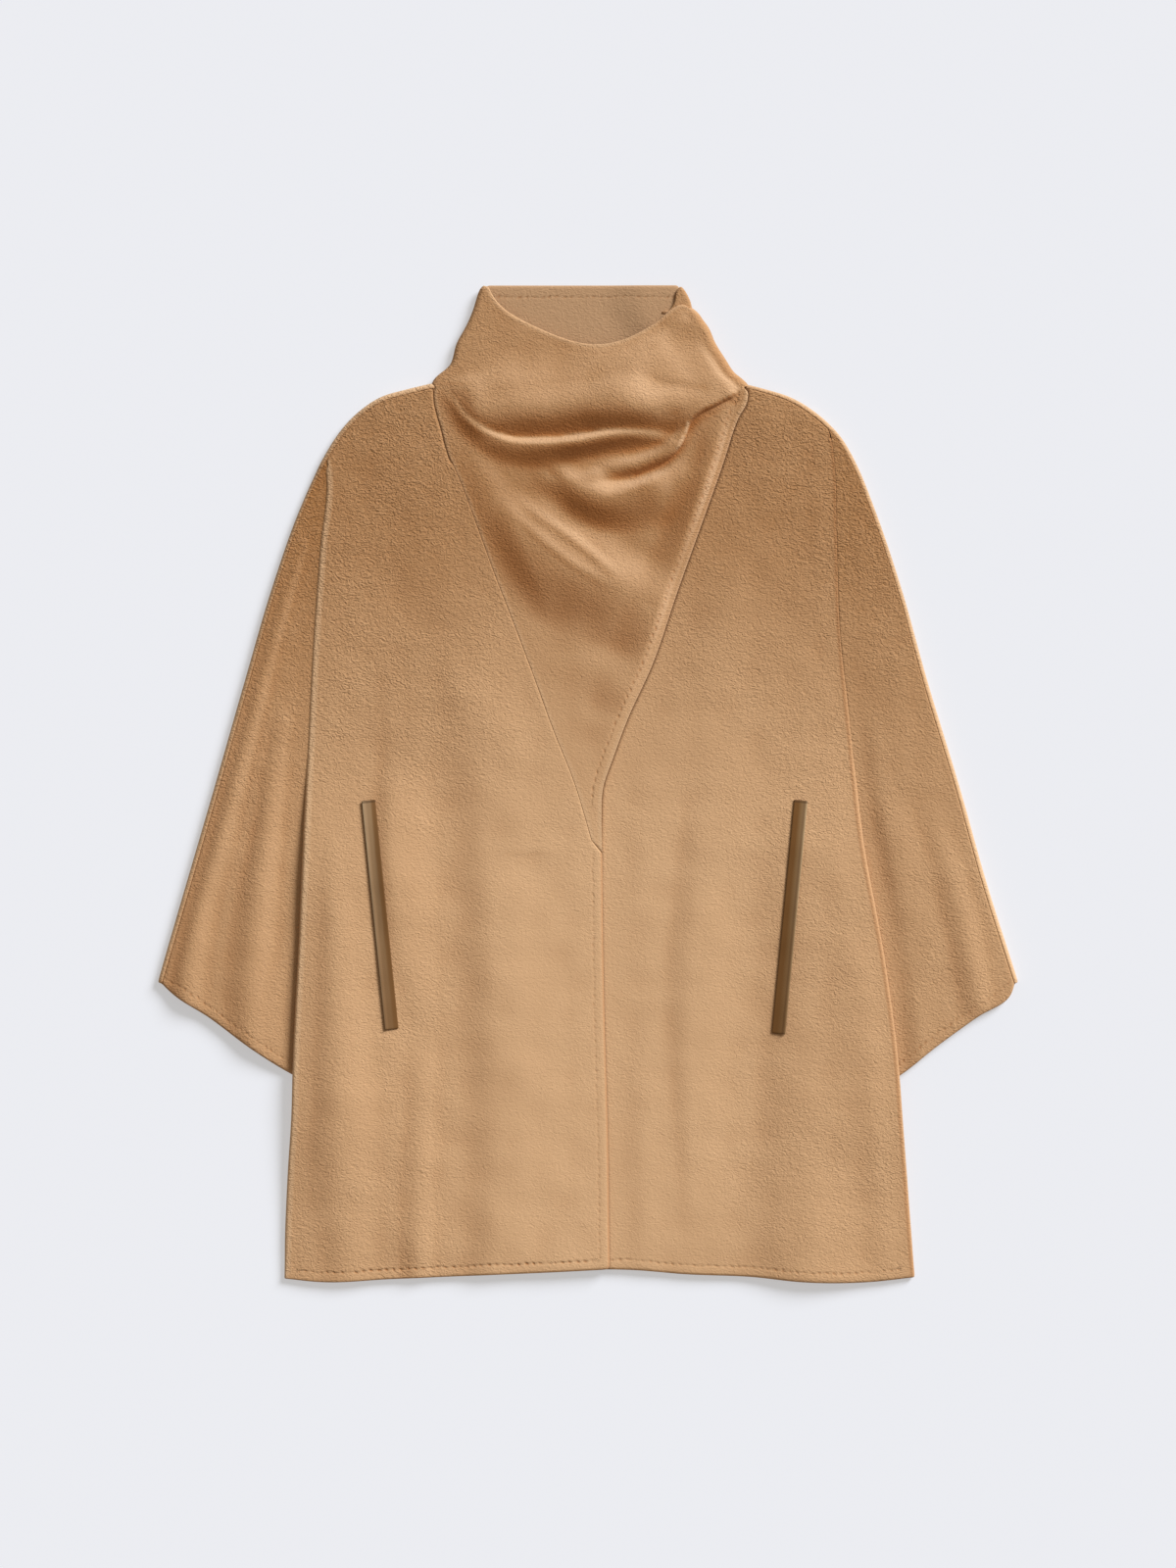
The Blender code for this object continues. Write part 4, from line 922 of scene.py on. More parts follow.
def side_strip(edge, side):
    """The front's cloth turned down over the sleeve, and under the body below the underarm."""
    y = edge[:, 1]
    turn = side_value(side, y, 2)
    full = (edge[:, 2] - back_height(edge[:, 0], y)) / 2
    radius = np.where(turn > 90, full, SHOULDER_ROLL)
    tail = SIDE_TAIL_START + (SIDE_TAIL - SIDE_TAIL_START) * eased(*SIDE_TAIL_TURN, turn)
    return roll(edge, outward_normals(edge, (OUTWARD[side], 0)), radius, turn, tail, -1)


def under_seam():
    """Hidden seam between the left front and its collar, inside the wrap's free edge."""
    points = FREE_LINE.on_levels(SEAM_LEVELS)
    points[:, 0] -= UNDER_SEAM_INSET
    points[0, 0] = LEFT_BEND.points[-1, 0]
    return Line(points, smooth=False)


def shadow_edge_distance(x, y):
    """How far a point of the left front lies outside the edge over it, beside which a shadow is painted."""
    return OVER_EDGE.distance(x, y)[0] + CENTRE_SHADOW_EASE * eased(*CENTRE_SHADOW_EASE_FROM, -y)


def front(side, seam, inner_edge, nudge, stitched, past_shadow_edge, material):
    """A front and its grid, from its side line to its inner seam and the edge below that, moved by nudge."""
    inner_levels = (FRONT_NECK_Y, *SEAM_LEVELS[1:], *CENTRE_LEVELS)
    places = places_in(SIDE_LEVELS[side], inner_levels)
    outer = SIDE[side].on_levels(read_at(SIDE_LEVELS[side], places))
    inner = Line([*seam.points, *Line(inner_edge).points], smooth=False)
    inner = inner.on_levels(read_at(inner_levels, places)) + nudge
    inner[0, 1] = FRONT_NECK_Y
    top = shoulder_rows(side, SHOULDER_BEND + SHOULDER_TAIL - SEWN, SHOULDER_COLUMNS)[:: -OUTWARD[side]]
    bottom = HEM_LINE[side].at(np.linspace(0, 1, len(top)))
    left, right = (outer, inner)[:: -OUTWARD[side]]
    top[0], top[-1] = left[0], right[0]
    bottom[0], bottom[-1] = left[-1], right[-1]
    height = partial(front_height, side)
    grid = raised(patch(top, bottom, left, right), height)
    sheet = bmesh.new()
    add_grid(sheet, grid)
    add_grid(sheet, side_strip(grid[1:, 0 if side == "right" else -1], side))
    sewn = [*stitched, HEM_LINE[side], SIDE[side]]
    return cloth(f"front_panel_{side}", sheet, material, sewn, height=height, past_shadow_edge=past_shadow_edge), grid


def sleeve_plan(side, bend, inner_x):
    """Plan of one half of a sleeve from the armhole's tip down to the cuff.

    It reaches from inside the outline by bend to the line given by inner_x.
    """
    outer = OUTLINE[side].moved(-OUTWARD[side] * bend)
    fine = outer.at(np.linspace(0, 1, OUTLINE_PARTS + 1))
    first = np.argmax(OUTWARD[side] * (fine[:, 0] - inner_x(fine[:, 1])) > 0)
    tip = fine[max(first - round(TIP_TUCK / outer.length * OUTLINE_PARTS), 0)]
    levels = (tip[1], *SLEEVE_LEVELS[side])
    rows = read_at(levels, places_in(levels))
    inner = np.stack([inner_x(rows), rows], axis=-1)
    start = outer.share_near(tip)
    edge = outer.at(start + (1 - start) * (rows[0] - rows) / (rows[0] - rows[-1]))
    edge[0] = inner[0] = tip
    cuff = Line([edge[-1], *CUFF[side][1:-1], inner[-1]]).at(np.linspace(0, 1, SLEEVE_COLUMNS + 1))
    return patch(np.repeat(tip[None], SLEEVE_COLUMNS + 1, axis=0), cuff, edge, inner)


def sleeve_back(side, material):
    """The half of a sleeve that lies on the ground, rolled up along the outer fold."""
    body = Line(back_side(side, places_in(SIDE_LEVELS[side])), smooth=False)

    def inner_x(y):
        tucked = SIDE[side].x_at(y) + OUTWARD[side] * np.minimum(side_value(side, y, 3), -SIDE_TAIL)
        beside_tip = body.x_at(y) + OUTWARD[side] * (SEAM + SLACK)
        return np.where(y > SIDE_LEVELS[side][1], beside_tip, tucked)

    grid = raised(sleeve_plan(side, SHOULDER_BEND, inner_x), lambda x, y: np.full(np.shape(x), GROUND))
    edge = grid[:, 0]
    radius = (sleeve_height(side, edge[:, 0], edge[:, 1]) - GROUND) / 2
    sheet = bmesh.new()
    add_grid(sheet, grid)
    add_grid(sheet, roll(edge, outward_normals(edge, (OUTWARD[side], 0)), radius, 180, SHOULDER_TAIL, 1))
    return cloth(f"sleeve_half_{side}_back", sheet, material, [CUFF_LINE[side], OUTLINE[side]])


def sleeve_front(side, material):
    """The half of a sleeve that shows, tucked under the body's side."""
    def inner_x(y):
        return SIDE[side].x_at(y) + OUTWARD[side] * side_value(side, y, 3)

    height = partial(sleeve_height, side)
    sheet = bmesh.new()
    add_grid(sheet, raised(sleeve_plan(side, SHOULDER_BEND + SHOULDER_TAIL - SEWN, inner_x), height))
    return cloth(f"sleeve_half_{side}_front", sheet, material, [CUFF_LINE[side]], height=height)


def collar_side(side):
    """Points down the wrap's fold at one side of the collar, to the neck."""
    bend = RIGHT_BEND if side == "right" else LEFT_BEND
    return bend.on_levels(np.linspace(bend.points[0, 1], NECK_Y, COLLAR_ROWS + 1))


def under_side():
    """Points down the under collar's fold: its lobe over the wrap's edge, then inside the wrap's fold."""
    inside = Line(collar_side("left"), smooth=False).moved(-FOLD_CLEARANCE).points
    inside[-1, 1] = NECK_Y + FOLD_LIFT
    return Line(np.vstack([UNDER_LOBE, inside]), smooth=False).at(np.linspace(0, 1, COLLAR_ROWS + 1))


def fold_strip(edge, side, radius, tail, at_top=None, at_neck=None, rounding=LOBE_ROUNDING):
    """The cloth of a collar turned down and under at a side fold.

    Its direction may be given at its ends, and it gets narrower along the rounding at its top.
    """
    outward = outward_normals(edge, (OUTWARD[side], 0))
    steps = np.linalg.norm(np.diff(edge[:, :2], axis=0), axis=1)
    down = np.concatenate([[0.0], np.cumsum(steps)])
    for direction, distance in ((at_top, down), (at_neck, down[-1] - down)):
        if direction is not None:
            near = (1 - eased(0, TURN_REACH, distance))[:, None]
            outward = outward * (1 - near) + np.array(direction) / np.hypot(*direction) * near
    outward /= np.linalg.norm(outward, axis=1)[:, None]
    share = np.minimum(down / rounding, 1.0)
    return roll(edge, outward, radius * np.maximum(np.sqrt(share * (2 - share)), LEAST_ROLL), 180, tail, -1)


def collar_back(material):
    """The back of the funnel collar, of which the inside shows over the wrap's top."""
    right = Line(collar_side("right"), smooth=False).moved(COLLAR_TAIL + SEAM).points
    left = Line(under_side(), smooth=False).moved(-(SHOULDER_TAIL + SEAM)).points
    right[-1] = collar_side("right")[-1] + (COLLAR_TAIL + SEAM + SLACK, 0)
    left[-1, 1] = NECK_Y
    shares = np.linspace(0, 1, COLLAR_ROWS + 1)
    right, left = (
        Line(np.vstack([(edge[0, 0], COLLAR_TOP), edge]), smooth=False).at(shares) for edge in (right, left)
    )
    top, bottom = (np.linspace(right[row], left[row], COLLAR_COLUMNS // 2 + 1) for row in (0, -1))
    sheet = bmesh.new()
    add_grid(sheet, raised(patch(top, bottom, right, left), back_height))
    stitched = Line([top[0] - RIM_STITCHES_DOWN, top[-1] - RIM_STITCHES_DOWN], smooth=False, picks=0.9)
    return cloth("collar_inside", sheet, material, [stitched])


def finer_near(sheet, line, reach):
    """Halves the cells of the flat wrap near a line, below the neck."""
    sheet.verts.index_update()
    spots = spots_of(sheet)
    near = np.abs(line.distance(spots[:, 0], spots[:, 1])[0]) < reach
    near &= spots[:, 1] < NECK_Y - SEAM
    edges = [edge for edge in sheet.edges if all(near[vert.index] for vert in edge.verts)]
    bmesh.ops.subdivide_edges(sheet, edges=edges, cuts=1, use_grid_fill=True)


def collar_wrap(material):
    """The wrap: its collar, folded under at both sides, and the drape down to its point."""
    right, left = collar_side("right"), collar_side("left")
    top_line = Line([right[0], *WRAP_TOP, left[0]])
    top = top_line.at(np.linspace(0, 1, COLLAR_COLUMNS + 1))
    neck = np.linspace(right[-1], left[-1], COLLAR_COLUMNS + 1)
    levels = read_at(SEAM_LEVELS, places_in(SEAM_LEVELS, cell=COLLAR_CELL))
    seam = SEAM_LINE.on_levels(levels) - SEWN / 2
    edge_levels = NECK_Y + (levels - NECK_Y) * (TIP_END[1] - NECK_Y) / (TIP_CORNER[1] - NECK_Y)
    edge = FREE_LINE.on_levels(edge_levels)
    seam[0], edge[0] = neck[0], neck[-1]
    tip = np.linspace(seam[-1], edge[-1], COLLAR_COLUMNS + 1)
    sheet = bmesh.new()
    for plan in (patch(top, neck, right, left), patch(neck, tip, seam, edge)):
        add_grid(sheet, np.concatenate([plan, np.zeros(plan.shape[:2] + (1,))], axis=-1))
    merge(sheet)
    for line in (CREASE_LINE, FIRST_FOLD.line):
        finer_near(sheet, line, FINE_REACH)
    spots = spots_of(sheet)
    for vert, spot in zip(sheet.verts, np.stack(wrap_form(spots[:, 0], spots[:, 1]), axis=-1)):
        vert.co = spot
    fold = raised(right, wrap_height)
    add_grid(sheet, fold_strip(fold, "right", OVER / 2, COLLAR_TAIL, at_neck=(-1.0, 0.0)))
    fold = raised(left, wrap_height)
    ends = {"at_top": (1.0, 0.1), "at_neck": (1.0, 0.0), "rounding": WRAP_ROUNDING}
    add_grid(sheet, fold_strip(fold, "left", (fold[:, 2] - GROUND) / 2, WRAP_TAIL, **ends))
    top_stitches = Line([*top_line.points, left[0] + TOP_STITCHES_PAST], smooth=False, picks=0.35, rim=0.3)
    sewn = [top_stitches, FREE_LINE, SEAM_LINE]
    return cloth("collar_drape", sheet, material, sewn, height=wrap_height, lit_slope=DRAPE_LIT_SLOPE)


def collar_under(material):
    """The under collar, whose lobe shows at the wearer's left of the neck."""
    left = under_side()
    free = Line(UNDER_FREE)
    right = free.on_levels(np.linspace(UNDER_TOP[0][1], NECK_Y, len(left)))
    top = Line([*UNDER_TOP[:-1], left[0]]).at(np.linspace(0, 1, UNDER_COLUMNS + 1))
    neck = np.linspace(right[-1], left[-1], UNDER_COLUMNS + 1)
    levels = read_at(SEAM_LEVELS, places_in(SEAM_LEVELS))
    seam = under_seam().on_levels(levels) - (SEAM / 2, 0)
    inner = free.on_levels(levels)
    seam[0] = neck[-1]
    bottom = np.linspace(inner[-1], seam[-1], UNDER_COLUMNS + 1)
    sheet = bmesh.new()
    add_grid(sheet, raised(patch(top, neck, right, left), under_height))
    add_grid(sheet, raised(patch(neck, bottom, inner, seam), under_height))
    add_grid(sheet, fold_strip(raised(left, under_height), "left", UNDER / 2, SHOULDER_TAIL))
    return cloth("collar_under_left", sheet, material)


def surface_of(grid):
    """A grid as a surface that heights can be read from."""
    rows, columns = grid.shape[:2]
    faces = [
        (r * columns + c, r * columns + c + 1, (r + 1) * columns + c + 1, (r + 1) * columns + c)
        for r in range(rows - 1)
        for c in range(columns - 1)
    ]
    return BVHTree.FromPolygons([tuple(point) for point in grid.reshape(-1, 3)], faces)


def height_on(surface, spot):
    """Height of a surface at a place of the plan."""
    return surface.ray_cast(Vector((*spot, ABOVE_ALL)), Vector((0.0, 0.0, -1.0)))[0][2]


def welt(side, grid, material):
    """A leather strip lying on a front panel, folded over along its outer edge."""
    surface = surface_of(grid)
    top, bottom = (np.array(end) for end in WELT_ENDS[side])
    along = (bottom - top) / np.linalg.norm(bottom - top)
    across = np.array((-along[1], along[0])) * WELT_WIDTH / 2
    plan = patch(
        np.linspace(top - across, top + across, WELT_COLUMNS + 1),
        np.linspace(bottom - across, bottom + across, WELT_COLUMNS + 1),
        np.linspace(top - across, bottom - across, WELT_ROWS + 1),
        np.linspace(top + across, bottom + across, WELT_ROWS + 1),
    )
    lift = CLOTH / 2 + SEAM + LEATHER / 2
    heights = np.reshape([lift + height_on(surface, spot) for spot in plan.reshape(-1, 2)], plan.shape[:2])
    outer = Line([top + across * OUTWARD[side], bottom + across * OUTWARD[side]], smooth=False)
    depth = np.abs(outer.distance(plan[..., 0], plan[..., 1])[0])
    lip = 1 - eased(0, WELT_LIP, np.abs(depth - WELT_LIP))
    heights += WELT_TILT * (1 - depth / WELT_WIDTH) + WELT_LIP_RISE * lip
    sheet = bmesh.new()
    add_grid(sheet, np.concatenate([plan, heights[..., None]], axis=-1))
    return cloth(f"pocket_welt_{side}", sheet, material, [outer], LEATHER)


# Finishes

# Nap
NAP_TONES = (  # share of the length from the hem up, tone of the nap from deep to light
    (0.00, 1.00), (0.24, 1.00), (0.42, 0.98), (0.56, 0.76), (0.66, 0.50), (0.72, 0.28), (0.77, 0.18),
    (1.00, 0.18),
)
CAPE_LENGTH = 0.8652  # metres from hem to collar
SIDE_DEPTH = (0.04, 0.17)  # metres from the middle: where the nap starts to deepen towards the sides, and has
SIDE_TONE = 0.24  # how much deeper it gets
LEFT_SIDE_SHARE = 0.66  # share of its real distance that counts on the wearer's left
COLLAR_FROM = (0.80, 0.90)  # shares of the length where the collar's own tone starts, and is full
# Noises from coarse to fine: about how many there are to a metre, how far each one changes the tone, and how
# high the finer ones stand, where the ripples stand 1
PATCHES_PER_METRE = 8.0
PATCH_TONE = 0.26
BLOTCHES_PER_METRE = 45.0
BLOTCH_TONE = 0.12
RIPPLE_TONE = 0.38
RIPPLE_STRETCH = (1.0, 1.5, 1.0)  # ripples lie closer along the cape than across
CURLS_PER_METRE = 520.0
CURL_TONE = 0.26
CURL_RISE = 0.35
FIBRES_PER_METRE = 1500.0
FIBRE_TONE = 0.20
FIBRE_RISE = 0.10
LIVELY_BY_LENGTH = (-0.62, 0.86)  # how lively the nap is: so many times the tone by length, and so much more
LIVELY_BY_PATCH = (1.6, 0.2)  # the same by the patches
LEAST_TONE = -0.3
NAP_HEIGHT = 0.0015  # metres that a height of 1 stands up
WOOL_SURFACE = {
    "Roughness": 0.92,
    "Specular IOR Level": 0.10,
    "Sheen Weight": 0.14,
    "Sheen Roughness": 0.45,
    "Sheen Tint": (1.0, 0.86, 0.68, 1.0),
}

# Sewing: pick stitches sunk into the nap, with painted shade in their pits, and the rims outside them, with a
# painted highlight or painted shade
PICK_PITCH = 6.4  # from stitch to stitch
PICK_INSET = 8.6  # from the edge to the stitches
PICK_SLANT = 0.7  # part of a turn, in radians, for each groove's width across
PICK_STRENGTH = (1.8, -0.25)  # so many times the sewing's noise, and so much more
GROOVE_WIDTH = 1.2
GROOVE_SHARE = 0.5  # depth of the groove between the stitches, where a pit is 1
DRIFTS_PER_METRE = 85.0  # noise that makes the sewing uneven
DRIFT_ALONG = 6.0  # how far it shifts a stitch along the edge
DRIFT_INSIDE = 3.0  # and across
PIT_SHADE_SHARE = 0.60  # how far painted shade takes a pit's colour
PIT_DEPTH = 0.20
RIM_HIGHLIGHT_WIDTH = 3.8  # of the painted highlight on the rim outside the stitches
RIM_ROUND = 0.6  # power that fills the highlight out
RIM_SHADE_WIDTH = 2.2  # of the painted shade on an edge's rim

# Wool colours, and how far the cloth takes the painted light, the painted shade and the painted shadow beside
# an edge
LIT_SHARE = 0.70
SHADED_SHARE = 0.85
EDGE_SHADOW_SHARE = 0.9
EDGE_SHADOW_WIDTH = 3.0  # of the painted shadow beside an edge that lies on the cloth
EDGE_SHADOW_FADE = 1.5  # power of the fade across that width
DEEP_CAMEL = (0.366, 0.188, 0.080, 1.0)
LIGHT_CAMEL = (0.595, 0.376, 0.209, 1.0)
# painted light, on slopes towards the light
PAINTED_LIGHT_CAMEL = (0.585, 0.378, 0.224, 1.0)
# painted shade, on slopes away from the light and in hollows
PAINTED_SHADE_CAMEL = (0.375, 0.142, 0.041, 1.0)
# painted shadow beside the edge that lies over the left front
EDGE_SHADOW_CAMEL = (0.10, 0.042, 0.015, 1.0)
# painted shade in the stitch pits, and on rims whose rim value is below nothing
SEWN_SHADE_CAMEL = (0.31, 0.125, 0.042, 1.0)
# painted highlight on rims
RIM_HIGHLIGHT_CAMEL = (0.68, 0.48, 0.30, 1.0)
DEEP_INSIDE = (0.425, 0.258, 0.142, 1.0)
LIGHT_INSIDE = (0.535, 0.347, 0.203, 1.0)

# Welts
# The bands hold painted light and shade. The dark bands at both edges are painted shadow beside raised edges,
# and the light band near the outer edge is a painted highlight on the lip. The right welt's brown inner band
# is painted shade. The right welt is a lighter grey-tan as painted light where it faces the light, and the
# left one a deeper brown as painted shade where it faces away.
WELT_BANDS = {  # depth inside the outer edge, colour
    "right": (
        (0.0, (0.085, 0.050, 0.020)), (0.7, (0.46, 0.34, 0.21)), (1.8, (0.30, 0.195, 0.110)),
        (7.0, (0.27, 0.170, 0.090)), (8.6, (0.195, 0.100, 0.040)), (11.4, (0.170, 0.078, 0.025)),
        (12.0, (0.09, 0.042, 0.013)),
    ),
    "left": (
        (0.0, (0.46, 0.33, 0.20)), (0.8, (0.33, 0.235, 0.13)), (1.8, (0.27, 0.170, 0.092)),
        (5.0, (0.215, 0.125, 0.055)), (7.5, (0.160, 0.070, 0.020)), (10.5, (0.160, 0.070, 0.020)),
        (12.0, (0.09, 0.042, 0.012)),
    ),
}
BAND_DRIFT = 0.08  # how far the bands waver, as a share of the width
CLOUDS_PER_METRE = 90.0  # soft noise in the bands and scuffs
SCUFF_SHARE = 0.14
SCUFF_BROWN = (0.30, 0.19, 0.080, 1.0)
WELT_DARKENS = 190.0  # length over which a welt gets darker towards its bottom
DARK_SHARE = 0.72  # how far it does
WELT_BROWN = (0.150, 0.070, 0.022, 1.0)
WELT_TOP_SHADOW = 2.4  # length of the painted shadow across the top, where the cloth overlaps the welt
WELT_TOP_SHADOW_SHARE = 0.65
WELT_TOP_SHADOW_BROWN = (0.075, 0.038, 0.016, 1.0)
GRAINS_PER_METRE = 1500.0
GRAIN_HEIGHT = 0.0002  # metres
LEATHER_SURFACE = {"Roughness": 0.55, "Specular IOR Level": 0.12}


def add_node(tree, kind, settings=None, **inputs):
    """A shader node with its settings and its input values or links, given by name, or by n and number."""
    node = tree.nodes.new("ShaderNode" + kind)
    for key, value in (settings or {}).items():
        setattr(node, key, value)
    for key, value in inputs.items():
        numbered = key[0] == "n" and key[1:].isdigit()
        socket = node.inputs[int(key[1:])] if numbered else node.inputs[key.replace("_", " ")]
        if isinstance(value, bpy.types.NodeSocket):
            tree.links.new(value, socket)
        else:
            socket.default_value = value
    return node


def maths(operation, *values, clamp=False):
    """A value reckoned from others, of which at least one comes from a node."""
    tree = next(value.id_data for value in values if isinstance(value, bpy.types.NodeSocket))
    numbered = {f"n{k}": value for k, value in enumerate(values)}
    return add_node(tree, "Math", {"operation": operation, "use_clamp": clamp}, **numbered).outputs[0]


times = partial(maths, "MULTIPLY")
times_plus = partial(maths, "MULTIPLY_ADD")  # the first times the second, plus the third
minus = partial(maths, "SUBTRACT")
divided = partial(maths, "DIVIDE")


def mixed(factor, first, second):
    """The first colour, turned into the second one as far as the factor says."""
    settings = {"data_type": "RGBA", "clamp_factor": False}
    return add_node(factor.id_data, "Mix", settings, n0=factor, n6=first, n7=second).outputs[2]


def noise(place, scale, detail, **more):
    """Soft noise: its first output is one value, its second a colour of three values apart."""
    return add_node(place.id_data, "TexNoise", Vector=place, Scale=scale, Detail=detail, **more).outputs


def eased_from_to(value, low, high, first, last):
    """The first value up to low, the last one from high on, and a soft S between them."""
    settings = {"interpolation_type": "SMOOTHSTEP"}
    return add_node(
        value.id_data, "MapRange", settings, n0=value, n1=low, n2=high, n3=first, n4=last
    ).outputs[0]


def colour_ramp(value, rows):
    """Colours along a value, one row for each stop: its place and its colour."""
    ramp = add_node(value.id_data, "ValToRGB", n0=value)
    stops = ramp.color_ramp.elements
    while len(stops) < len(rows):
        stops.new(0.5)
    for stop, (place, colour) in zip(stops, rows):
        stop.position = place
        stop.color = (*colour, 1.0)
    return ramp.outputs[0]


def axes(vector):
    """The three values of a vector or a colour."""
    return add_node(vector.id_data, "SeparateXYZ", n0=vector).outputs


def new_group(name, inputs, outputs):
    """A group of nodes with named inputs and outputs, and the sockets of both inside it."""
    group = bpy.data.node_groups.new(name, "ShaderNodeTree")
    for way, sockets in (("INPUT", inputs), ("OUTPUT", outputs)):
        for label, kind in sockets.items():
            group.interface.new_socket(label, in_out=way, socket_type=f"NodeSocket{kind}")
    return group, group.nodes.new("NodeGroupInput").outputs, group.nodes.new("NodeGroupOutput").inputs


def put_out(group, sockets, results):
    """Joins a group's results to its outputs by name."""
    for label, value in results.items():
        group.links.new(value, sockets[label])
    return group


def wool_nap_group():
    """Brushed nap: curled ripples and fine fibre, with a tone that changes from hem to collar."""
    group, given, out = new_group(
        "brushed_nap",
        {
            "Place": "Vector", "Ripples per metre": "Float", "Ripple depth": "Float", "Tone shift": "Float",
            "Collar tone": "Float", "Deep colour": "Color", "Light colour": "Color",
        },
        {"Colour": "Color", "Height": "Float"},
    )
    place = given["Place"]
    x, y, _ = axes(place)
    up = times_plus(y, 1 / CAPE_LENGTH, 0.5, clamp=True)
    by_length = colour_ramp(up, [(share, (tone, tone, tone)) for share, tone in NAP_TONES])
    from_middle = maths("MAXIMUM", times(x, -1.0), times(x, LEFT_SIDE_SHARE))
    by_side = eased_from_to(from_middle, *SIDE_DEPTH, 1.0, 1.0 - SIDE_TONE)
    patches = noise(place, PATCHES_PER_METRE, 2.0)[0]
    blotches = noise(place, BLOTCHES_PER_METRE, 2.0)[0]
    stretched = add_node(group, "Mapping", n0=place, Scale=RIPPLE_STRETCH).outputs[0]
    curls = noise(stretched, given["Ripples per metre"], 1.0, Roughness=0.4, Distortion=1.6)[0]
    small_curls = noise(place, CURLS_PER_METRE, 1.0, Distortion=0.8)[0]
    fibre = noise(place, FIBRES_PER_METRE, 2.0)[0]
    tone = maths("ADD", times(by_length, by_side), given["Tone shift"])
    tone = times_plus(eased_from_to(up, *COLLAR_FROM, 0.0, 1.0), given["Collar tone"], tone)
    lively = times_plus(by_length, *LIVELY_BY_LENGTH)
    lively = times_plus(by_side, -1.0, maths("ADD", lively, 1.0))
    lively = times(lively, times_plus(patches, *LIVELY_BY_PATCH))
    for texture, share in ((patches, PATCH_TONE), (blotches, BLOTCH_TONE)):
        tone = times_plus(texture, share, minus(tone, share / 2))
    for texture, share in ((curls, RIPPLE_TONE), (small_curls, CURL_TONE), (fibre, FIBRE_TONE)):
        tone = times_plus(times(minus(texture, 0.5), share), lively, tone)
    colour = mixed(maths("MAXIMUM", tone, LEAST_TONE), given["Deep colour"], given["Light colour"])
    height = times(times_plus(small_curls, CURL_RISE, curls), times(lively, given["Ripple depth"]))
    return put_out(group, out, {"Colour": colour, "Height": times_plus(fibre, FIBRE_RISE, height)})


def sewn_edge_group():
    """Uneven pits in a shallow groove of pick stitching along an edge, and masks for the painted shade in
    them and for the painted highlight and painted shade on the rim outside them.
    """
    group, given, out = new_group(
        "sewn_edge",
        {"Edge map": "Vector", "Place": "Vector", "Inset": "Float", "Pitch": "Float", "Width": "Float"},
        {"Pits": "Float", "Rim": "Float", "Shaded rim": "Float", "Height": "Float"},
    )
    way, inside, _ = axes(given["Edge map"])
    drift_along, drift_inside, drift_strength = axes(noise(given["Place"], DRIFTS_PER_METRE, 1.0)[1])
    along = times_plus(drift_along, DRIFT_ALONG * MM, way)
    depth = times_plus(drift_inside, DRIFT_INSIDE * MM, minus(inside, DRIFT_INSIDE * MM / 2))
    offset = divided(minus(depth, given["Inset"]), given["Width"])
    groove = maths("EXPONENT", times(times(offset, offset), -1.0))
    turns = times(divided(along, given["Pitch"]), 2 * math.pi)
    slanted = maths("COSINE", times_plus(offset, PICK_SLANT, turns))
    spots = maths("POWER", times_plus(slanted, 0.5, 0.5, clamp=True), 2.0)
    strength = times_plus(drift_strength, *PICK_STRENGTH, clamp=True)
    pits = times(times(groove, spots), strength)
    rim, shaded_rim = (
        minus(1.0, divided(inside, width * MM), clamp=True) for width in (RIM_HIGHLIGHT_WIDTH, RIM_SHADE_WIDTH)
    )
    rim_highlight = maths("POWER", rim, RIM_ROUND)
    height = times(times_plus(groove, GROOVE_SHARE, pits), -1.0)
    return put_out(group, out, {"Pits": pits, "Rim": rim_highlight, "Shaded rim": shaded_rim, "Height": height})


nap = wool_nap_group()
sewn_edge = sewn_edge_group()


def new_material(name):
    """A material, its node tree and its Principled shader."""
    material = bpy.data.materials.new(name)
    material.use_nodes = True
    return material, material.node_tree, material.node_tree.nodes["Principled BSDF"]


def set_values(shader, values):
    """Sets plain values of a shader by name."""
    for label, value in values.items():
        shader.inputs[label].default_value = value


def finish(shader, colour, height, strength, distance):
    """Joins a colour and the bumps of a height to a Principled shader."""
    tree = shader.id_data
    bump = add_node(tree, "Bump", Strength=strength, Distance=distance, Height=height)
    tree.links.new(colour, shader.inputs["Base Color"])
    tree.links.new(bump.outputs[0], shader.inputs["Normal"])


